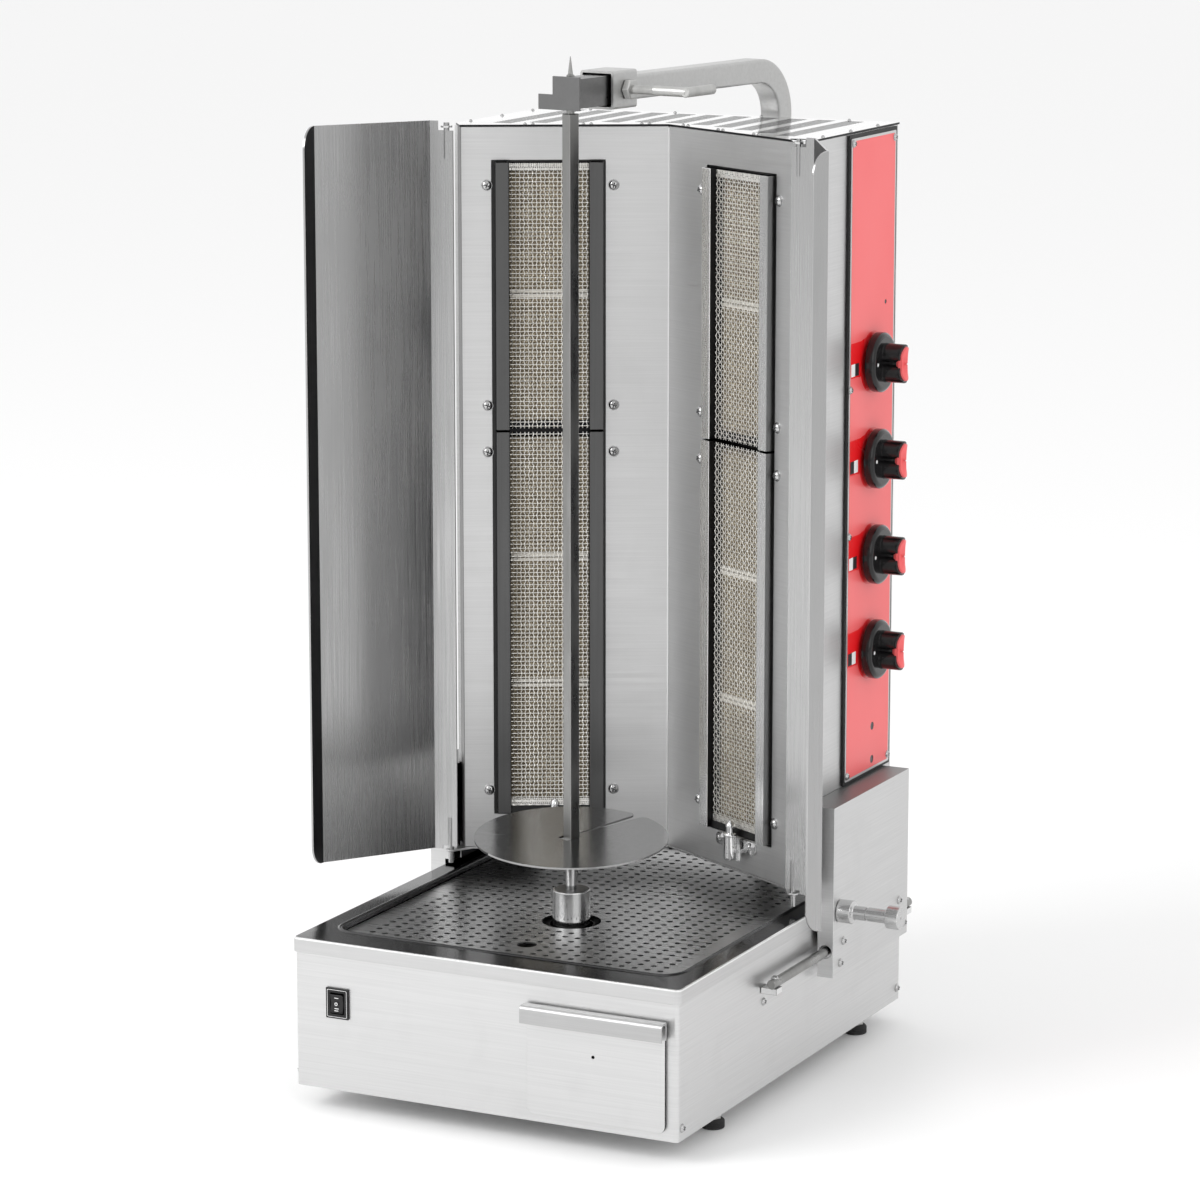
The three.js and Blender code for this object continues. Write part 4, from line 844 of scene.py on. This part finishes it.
def cover_paint(centre, normal):
    """A slide cover's top is in shadow and its inner side carries a near-black painted shade."""
    out = centre.x - BASE_MIDDLE.x
    if normal.x * out < -0.5 * abs(out):
        return 2
    return 1 if normal.z > 0.5 else 0


def seen_from_panel(side, choose):
    """A paint that picks a face's finish from its place and direction in a burner panel's frame."""
    to_panel = PANEL[side].inverted()
    return lambda centre, normal: choose(to_panel @ centre, (to_panel.to_3x3() @ normal).normalized())


def panel_paint(side):
    """Back and window edges carry near-black painted shade; the end that folds back to the cabinet's side
    carries a grey painted shade.
    """
    fold = 214

    def choose(spot, facing):
        if spot.x > fold:
            return 2
        return 0 if facing.y < -0.6 or facing.z > 0.6 else 1

    return seen_from_panel(side, choose)


def cover_screws():
    outer = extent("slide_cover_right")[1].x
    spots = [(71.7, 141.7), (64.2, 120.2), (219.3, 149.0), (233.4, 121.4)]
    for side in SIDES:
        places = [shift(outer, y, z) @ turn(90, "Y") for y, z in spots]
        screws(f"cover_screws_{side}", places, 4.2, "carriage", HALF[side])


def top_plate():
    """Bright lid over the cabinet, with ladders of cooling slots that run from front to back."""
    end_x, end_y, side_y = 188.25, 38.0, 57.8
    edge, back = CABINET_HALF_X + 1, CABINET_BACK + 1
    slope = math.radians(PANEL_TURN)
    lift = 1 / math.cos(slope)

    def front(x):
        return PANEL_VERTEX_Y - lift - abs(x) * math.tan(slope)

    right = [(end_x + 0.6, end_y - lift), (edge, side_y - 1), (edge, back)]
    outline = [(0, PANEL_VERTEX_Y - lift), *right, *[(-x, y) for x, y in reversed(right)]]
    bottom = CABINET_TOP - 2
    pitch, half, slot_pitch, slot_length, margin = 32.0, 10.5, 6.4, 3.6, 14
    holes = []
    for column in range(-5, 6):
        x = column * pitch
        first = max(front(x - half), front(x + half)) + margin
        for row in range(int((back - margin - first) // slot_pitch)):
            y = back - margin - row * slot_pitch
            holes.append(rounded(x - half, x + half, y - slot_length, y, 1.5, 2))
    shape = Shape().plate(outline, holes, bottom, CABINET_TOP)
    # the thin edge of the lid is in shadow
    edge_faces = sum(len(loop) for loop in (outline, *holes))
    shape.paints[-edge_faces:] = [1] * edge_faces
    eye = [(6, bottom), (6, CABINET_TOP), (3.4, CABINET_TOP), (3.4, bottom)]
    for s in (-1, 1):
        ear = [(s * (HINGE_X - 5), HINGE_Y - 3), (s * (HINGE_X + 5), HINGE_Y + 3)]
        ear += [(s * (end_x + 4), end_y + 16), (s * (end_x - 12), end_y + 12)]
        shape.plate(ear, [], bottom, CABINET_TOP)
        shape.loft(rings(eye, s * HINGE_X, HINGE_Y, 32), closed=True)
    remade(shape, "top_plate", ("bright", "dark"))
    # small screws: pairs along both front edges, and single ones along the sides and the back
    places = []
    from_corner, between_pair, from_front, from_back = (22, 82, 142), 8, (80, 150, 220), 6
    for s in (-1, 1):
        for u in from_corner:
            for step in (0, between_pair):
                x = s * (u + step) * math.cos(slope)
                places.append(shift(x, front(x) + 5, CABINET_TOP))
        places += [shift(s * (edge - 5), y, CABINET_TOP) for y in from_front]
    places += [shift(x, back - from_back, CABINET_TOP) for x in (-150, -50, 50, 150)]
    screws("top_plate_screws", places, 1.8, "carriage")


# ---------------- burners
# where the two proud channels beside the plaques begin and end along the panel, and their width
NEAR, FAR, CHANNEL = 67.8, 179.6, 14.3
BURNER_JOINTS = {"lower": (376.0, 511.0), "upper": (789.0,)}


def burner_screws():
    beside, heights = (57, 188), (902, 673, 624, 262.5)
    for side in SIDES:
        places = [shift(u, 0, z) @ FACING_FRONT for u in beside for z in heights]
        screws(f"burner_screws_{side}", places, 5.3, "carriage", PANEL[side])


def plaques(side, level):
    """Square-edged ceramic plaques with a fine raised relief, and pale fibre packing between them."""
    node = f"burner_plaques_{level}_{side}"
    low, high = extent(node)
    near, far = NEAR + CHANNEL + 0.4, FAR - CHANNEL - 0.4
    front, back, packing, gap = 8.5, 21.7, 9.0, 1.2
    levels = [low.z, *BURNER_JOINTS[level], high.z]
    shape = Shape()
    for bottom, top in zip(levels, levels[1:]):
        lower = bottom + (packing / 2 if bottom > low.z else 0)
        upper = top - (packing / 2 if top < high.z else 0)
        shape.plate(rounded(near, far, lower, upper, 2.0, 3), [], front, back, move=ALONG_Y)
    for joint in BURNER_JOINTS[level]:
        for bottom, top in ((joint - packing / 2, joint - gap / 2), (joint + gap / 2, joint + packing / 2)):
            shape.block((near + 0.5, front - 1.2, bottom), (far - 0.5, back - 1, top), 1)
    name, finishes = f"plaques_{level}_{side}", ("plaque", "gasket")
    build(shape, name, finishes, "carriage", PANEL[side], (node,), 0.5)
    # small pyramids in rows
    studs = Shape()
    pitch, size, proud, rooted = 3.6, 1.2, 1.0, 0.2
    corners = ((-1, 0), (0, -1), (1, 0), (0, 1))
    columns = int((far - near - 4) // pitch)
    for bottom, top in zip(levels, levels[1:]):
        rows = int((top - bottom - 12) // pitch)
        for i in range(columns + 1):
            for j in range(rows + 1):
                u = (near + far) / 2 + (i - columns / 2) * pitch
                z = (bottom + top) / 2 + (j - rows / 2) * pitch
                foot = [(u + a * size, front + rooted, z + b * size) for a, b in corners]
                peak = (u, front - proud, z)
                studs.add([*foot, peak], [(0, 1, 4), (1, 2, 4), (2, 3, 4), (3, 0, 4), (3, 2, 1, 0)])
    build(studs, f"plaque_relief_{level}_{side}", ("stud",), "carriage", PANEL[side])


def guard(side, level):
    """Woven mesh before the plaques, doubled over at one end, with a dark clip at a lower one's foot."""
    node = f"burner_guard_{level}_{side}"
    low, high = extent(node)
    near, far = NEAR + CHANNEL + 0.5, FAR - CHANNEL - 0.5
    pitch, radius, wave, weave = 4.3, 0.45, 0.5, 0.75
    columns = round((far - near) / pitch)
    rows = round((high.z - low.z) / pitch)
    across = [near + (far - near) * (i + 0.5) / columns for i in range(columns)]
    upward = [low.z + (high.z - low.z) * (j + 0.5) / rows for j in range(rows)]
    middle = -0.6
    shape = Shape()
    for i, u in enumerate(across):
        path = [(u, middle, low.z)]
        for j, z in enumerate(upward):
            lean = weave if (i + j) % 2 else -weave
            path.append((u + lean, middle + lean * wave / weave, z))
        shape.tube([*path, (u, middle, high.z)], radius, sides=5)
    for j, z in enumerate(upward):
        path = [(near, middle, z)]
        path += [(u, middle - (wave if (i + j) % 2 else -wave), z) for i, u in enumerate(across)]
        shape.tube([*path, (far, middle, z)], radius, sides=5)
    turned_over = 8
    bottom = low.z + 6 if level == "lower" else high.z - turned_over
    for k in range(5):
        z = bottom + 1.0 + 1.5 * k
        shape.tube([(u, middle - 0.1, z) for u in (near, far)], radius, sides=5)
    for u in across:
        ends = [(u + pitch / 2, middle, z) for z in (bottom, bottom + turned_over)]
        shape.tube(ends, radius, sides=5)
    if level == "lower":
        shape.block((near, -2.9, low.z - 0.6), (far, -2.3, low.z + 6.5), 1)
    name, finishes = f"guard_mesh_{level}_{side}", ("wire", "flange")
    build(shape, name, finishes, "carriage", PANEL[side], (node,))


def burners():
    for side in SIDES:
        window_gap_shade(side)
        for level in ("lower", "upper"):
            node, paint = f"burner_housing_{level}_{side}", housing_paint(side)
            # the left channels carry painted shade, the right ones a painted highlight
            softened(node, f"channel_{side}", 0.8, paint, ("dark", "channel_side"))
            plaques(side, level)
            guard(side, level)
        pilot(side)


def window_gap_shade(side):
    """Near-black frame behind the edges of the window that the burner boxes stand in: painted shade in the
    gaps round them.
    """
    low, high = extent(f"burner_housing_lower_{side}")[0].z, extent(f"burner_housing_upper_{side}")[1].z
    gap, border, front = 0.2, 14, 2.4
    hole = rounded(NEAR - gap, FAR + gap, low - gap, high + gap, 0.5, 2)
    outline = rounded(NEAR - border, FAR + border, low - 9, high + 8, 3, 4)
    flange = Shape().plate(outline, [hole], front, front + 1, move=ALONG_Y)
    build(flange, f"burner_flange_{side}", ("flange",), "carriage", PANEL[side])


def housing_paint(side):
    """Only the fronts of the channels take the side's finish: painted shade on the left, a painted highlight
    on the right. The right one's far side has a grey painted shade, all else a near-black painted shade.
    """

    def choose(spot, facing):
        if spot.x > FAR - 1 and facing.x > 0.3:
            return 2 if side == "right" else 1
        return 0 if spot.y < 0 and facing.y < -0.3 else 1

    return seen_from_panel(side, choose)


def pilot(side):
    """Pilot burner and its feed on a plate below the lower burner, held by two nuts."""
    middle, front, foot, tip, nut_height = 124.0, -12.0, 214.0, 256.0, 230.5
    s = SIDES[side]
    u = middle + 4.3 * s
    feed = u + 10.5 * s
    half, nut_spread = 34, 26
    plate = rounded(middle - half, middle + half, nut_height - 9, nut_height + 4.5, 5, 6)
    shape = Shape().plate(plate, [], -1.8, -0.3, move=ALONG_Y)
    left, right = sorted((u - 4 * s, feed + 2.5 * s))
    shape.block((left, front, nut_height - 8), (right, -1.3, nut_height - 4))
    body = [(0.5, foot), (5.2, foot), (6.2, foot + 0.6), (6.8, foot + 2.4), (6.7, foot + 9)]
    body += [(6.6, tip - 17.2), (7.1, tip - 17), (7.3, tip - 16.4), (7.3, tip - 14.6), (6.9, tip - 14)]
    body += [(4.4, tip - 13.8), (4.4, tip - 7.7), (4.8, tip - 7.4), (5.0, tip - 6.6), (4.6, tip - 4.6)]
    body += [(2.8, tip - 2), (0.5, tip - 0.2)]
    shape.lathe(body, move=shift(u, front), sides=32)
    spout = [(0.5, foot), (2.3, foot), (2.8, foot + 0.5), (2.8, nut_height - 5)]
    shape.lathe(spout, move=shift(feed, front + 3), sides=20)
    for x in (middle - nut_spread, middle + nut_spread):
        move = shift(x, -1.6, nut_height) @ FACING_FRONT
        shape.plate(circle(4.2, sides=6), [circle(2.1, sides=20)], 0, 3.0, move=move)
        shape.lathe([(2.0, 0), (2.0, 3.2), (1.6, 3.7), (0.4, 3.8)], move=move, sides=20)
    remade(shape, f"pilot_{side}", ("bright",), PANEL[side], 0.3)


# ---------------- doors
# length of each leaf and its turn from the one before, in radians, starting at the hinge
DOOR_FOLDS = ((19.0, 0.0), (132.0, 0.937), (25.0, 0.709))
DOOR_REST = {"left": 0.017, "right": 0.127}


def doors():
    """Folded leaves with painted highlights on the bends. The last fold and the right door's main leaf have
    painted shade inside.
    """
    for side, s in SIDES.items():
        heading = DOOR_REST[side]
        point = Vector((s * HINGE_X, HINGE_Y))
        across_folds = []
        for length, bend in DOOR_FOLDS:
            heading += bend
            last_fold = point.copy()
            direction = Vector((s * math.cos(heading), -math.sin(heading)))
            across_folds.append(Vector((direction.y, -direction.x)) * s)
            point = point + direction * length
        inward = across_folds[-1]
        start = BASE_MIDDLE.xy + last_fold * MM
        hinge = BASE_MIDDLE.xy + Vector((s * HINGE_X * MM, HINGE_Y * MM))
        flat = 0.985

        def paint(centre, normal):
            # painted shade inside the last fold and the right door's main leaf; painted highlight on the
            # bends
            beyond = (centre.xy - start).dot(direction) > 1.2 * MM
            if beyond and normal.xy.dot(inward) > 0.6:
                return 1
            if side == "right" and normal.xy.dot(across_folds[1]) > flat:
                return 1
            on_bend = max(abs(normal.xy.dot(across)) for across in across_folds) < flat
            near_pin = (centre.xy - hinge).length < 6 * MM
            return 2 if on_bend and abs(normal.z) < 0.1 and not near_pin else 0

        softened(f"{side}_door", "door", 1.5, paint, ("dark", "fold"))


# ---------------- control panel and knobs
KNOB_Y = 194.0
KNOB_HEIGHTS = [(extent(f"knob_{i}")[0].z + extent(f"knob_{i}")[1].z) / 2 for i in range(1, 5)]


def control_panel():
    """Red sheet with a pale edge on a black bezel, with holes for the knobs and three small ones."""
    softened("control_bezel", "black", 0.5)
    low, high = extent("control_panel")
    face = high.x
    shape = Shape()
    upper_hole, lower_holes = circle(2.5, 227, 783, 16), [circle(4.3, 205, z, 24) for z in (338, 302.3)]
    holes = [*(circle(5, KNOB_Y, z, 32) for z in KNOB_HEIGHTS), upper_hole, *lower_holes]
    shape.plate(rounded(low.y, high.y, low.z, high.z, 1.5, 3), holes, low.x, face - 0.25, move=ALONG_X)
    inset = 2.6
    red = rounded(low.y + inset, high.y - inset, low.z + inset, high.z - inset, 3.5, 6)
    shape.plate(red, holes, face - 0.3, face - 0.05, 1, ALONG_X)
    # the three small holes are stopped below the face in black: painted shade inside them
    for hole in holes[len(KNOB_HEIGHTS):]:
        shape.plate(hole, [], low.x + 0.05, face - 0.6, 2, ALONG_X)
    remade(shape, "control_panel", ("cover", "red", "black_print_and_shade"))
    prints(face, low)
    edge_screws = [(139.5, 953), (246, 951), (137.5, 702), (137.5, 550), (139, 297.5), (246, 299)]
    places = [shift(face - 0.1, y, z) @ turn(90, "Y") for y, z in edge_screws]
    screws("control_panel_screws", places, 3.6, "carriage")


def prints(face, low):
    """A red field behind each knob that runs to the panel's front edge, with a small plain mark."""
    shape = Shape()
    marks = Shape()
    edge, radius, above, below = low.y + 2.8, 32.0, 27.0, 11.0
    mark_width, mark_half, mark_drop = 10.0, 6.4, 3.0
    for i, z in enumerate(KNOB_HEIGHTS):
        high_angle = math.degrees(math.asin(above / radius))
        low_angle = math.degrees(math.asin(below / radius))
        sweep = 360 - low_angle - high_angle
        field = circle(radius, KNOB_Y, z, 60, start=180 + low_angle, sweep=sweep)
        field += [(KNOB_Y - 25, z + above - 1), (KNOB_Y - 29, z + above - 2), (edge, z + above - 2)]
        field += [(edge, z - below), (KNOB_Y - 38, z - below), (KNOB_Y - 33, z - below - 1)]
        shape.plate(field, [], face - 0.1, face + 0.02, 0, ALONG_X)
        middle = z - mark_drop
        for k in range(2):
            y0 = edge + 1 + k * mark_width
            mark = rounded(y0, y0 + mark_width, middle - mark_half, middle + mark_half, 0.5, 2)
            marks.plate(mark, [], face, face + 0.06, (k + i) % 2, ALONG_X)
    build(shape, "knob_fields", ("red_print",), "carriage")
    build(marks, "knob_marks", ("white_print", "black_print_and_shade"), "carriage")


def lever_ring(x, scale_y, scale_z, hollow, web=3.2):
    """A cross-section of the knob's lever, two round lobes and a web, sunk in the middle by hollow."""
    lobe, centre, half_length = 9.8, 10.4, 20.2
    neck = math.degrees(math.acos(web / lobe))
    ring = circle(lobe, 0, centre, 26, start=-neck, sweep=180 + 2 * neck)
    ring += circle(lobe, 0, -centre, 26, start=180 - neck, sweep=180 + 2 * neck)
    made = []
    for y, z in ring:
        sunk = hollow * max(0.0, 1 - (z / half_length) ** 2)
        made.append((x - sunk, y * scale_y, z * scale_z))
    return made


def knobs():
    """Round skirt with a two-lobed lever across it, a red end and a white pointer dot."""
    radius, thick, hollow = 31.0, 11.0, 4.0
    for i, z in enumerate(KNOB_HEIGHTS, 1):
        back, end = (corner.x for corner in extent(f"knob_{i}"))
        softened(f"knob_stem_{i}", "zinc", 0.3)
        move = shift(0, KNOB_Y, z)
        skirt = [(4.3, 0), (radius - 1.2, 0), (radius - 0.3, 0.3), (radius, 1.0), (radius, thick - 3.8)]
        skirt += [(radius - 0.5, thick - 2.4), (radius - 2.1, thick - 1), (radius - 3.5, thick - 0.3)]
        skirt += [(radius - 5.5, thick), (2, thick)]
        shape = Shape().lathe([(r, back + x) for r, x in skirt], move=move @ ALONG_X, sides=80)
        foot = back + thick - 1
        body = [lever_ring(foot, 1.12, 1.03, 0), lever_ring(foot + 2.5, 1.0, 1.0, 0)]
        body += [lever_ring(end - 9, 1.0, 1.0, 0), lever_ring(end - 3.2, 1.0, 1.0, hollow)]
        body += [lever_ring(end - 2.0, 0.97, 0.985, hollow), lever_ring(end - 1.6, 0.92, 0.96, hollow)]
        shape.loft(body, move=move)
        # the red end also fills the groove between the lobes
        cap = [lever_ring(end - 11, 0.93, 0.97, 0, 3.3), lever_ring(end - 6.5, 0.93, 0.97, hollow, 5.5)]
        cap += [lever_ring(end - 3.4, 0.9, 0.94, hollow, 8.0), lever_ring(end - 1.9, 0.76, 0.88, hollow, 9.0)]
        cap += [lever_ring(end, s, s * 1.15, hollow, 9.2) for s in (0.74, 0.5, 0.3, 0.1, 0.03)]
        shape.loft(cap, 1, move)
        dot = shift(back + thick - 0.4, -21, 0) @ ALONG_X
        shape.lathe([(1.9, 0), (1.9, 0.55), (1.6, 0.7)], 2, move @ dot, 20)
        remade(shape, f"knob_{i}", ("gloss", "red", "white_print"))


def lock():
    """Spool-shaped handle in two parts, with a centre mark in its end."""
    low, high = extent("lock_handle")
    x, y, z = low.x + 6, (low.y + high.y) / 2, (low.z + high.z) / 2
    profile = [(4, low.x), (4.5, low.x + 0.5), (4.5, x)]
    flange = [(11.4, 0), (12, 0.6), (12, 14.2), (11.4, 15)]
    waist = [(8.2, 15.6), (7.4, 16.4), (7.2, 17.4), (7.2, 30.0), (6.1, 30.2), (6.1, 31.6), (7.2, 31.8)]
    waist += [(7.2, 51), (7.5, 52.3), (8.4, 53.2)]
    profile += [(radius, x + along) for radius, along in (*flange, *waist, (11.4, 53.8), (12, 54.5))]
    profile += [(12, high.x - 0.9), (11.3, high.x), (1.7, high.x), (1.2, high.x - 1.6), (0.3, high.x - 2)]
    shape = Shape().lathe(profile, move=shift(0, y, z) @ ALONG_X, sides=64)
    remade(shape, "lock_handle", ("handle_steel",))


# ---------------- stage
def floor():
    """A pale studio floor."""
    made = Finish("studio_floor", (0.96, 0.96, 0.96), 0.9)
    made.bump(made.noise((40, 40, 40), 2.0), 0.0002, 0.2)
    half = 20.0
    corners = [(-half, -half, 0), (half, -half, 0), (half, half, 0), (-half, half, 0)]
    mesh = bpy.data.meshes.new("studio_floor")
    mesh.from_pydata(corners, [], [(0, 1, 2, 3)])
    mesh.materials.append(made.material)
    placed("studio_floor", mesh)


def softbox(name, location, target, size, power):
    light = bpy.data.lights.new(name, "AREA")
    light.shape = "RECTANGLE"
    light.size, light.size_y = size
    light.energy = power
    obj = placed(name, light)
    obj.location = location
    obj.rotation_euler = (Vector(target) - Vector(location)).to_track_quat("-Z", "Y").to_euler()


def studio():
    """Even white light from all round, a large soft key from the left and a weak fill from the right."""
    world = bpy.data.worlds.new("studio")
    world.use_nodes = True
    tree = world.node_tree
    background = tree.nodes["Background"]
    direction = tree.nodes.new("ShaderNodeTexCoord").outputs["Generated"]
    split = tree.nodes.new("ShaderNodeSeparateXYZ")
    tree.links.new(direction, split.inputs[0])
    strength = map_range(tree, split.outputs["Y"], -1.0, 1.0, 0.8, 1.1)
    tree.links.new(strength, background.inputs["Strength"])
    background.inputs["Color"].default_value = (1, 1, 1, 1)
    bpy.context.scene.world = world
    softbox("key_light", (-2.2, -3.2, 3.0), (0, 0, 0.5), (2.4, 2.4), 95)
    softbox("fill_light", (3.4, -2.6, 2.6), (0, 0, 0.6), (3.0, 3.0), 30)


def camera():
    lens = bpy.data.cameras.new("camera")
    lens.lens, lens.sensor_width = 132.57, 36.0
    lens.clip_start, lens.clip_end = 0.1, 100.0
    obj = placed("camera", lens)
    down, around = 11.334, 26.466
    obj.location = BASE_MIDDLE + Vector((1.964, -3.964, 1.3774))
    obj.rotation_euler = (math.radians(90 - down), 0, math.radians(around))
    bpy.context.scene.camera = obj


for part in (
    camera, studio, floor, base, deck_pan, perforated_tray, feet, guide_rods, switch, drawer, spit, meat_disc,
    arm, head, cabinet, top_plate, burners, burner_screws, doors, control_panel, knobs, lock,
):
    part()

bpy.context.scene.view_settings.view_transform = "Standard"
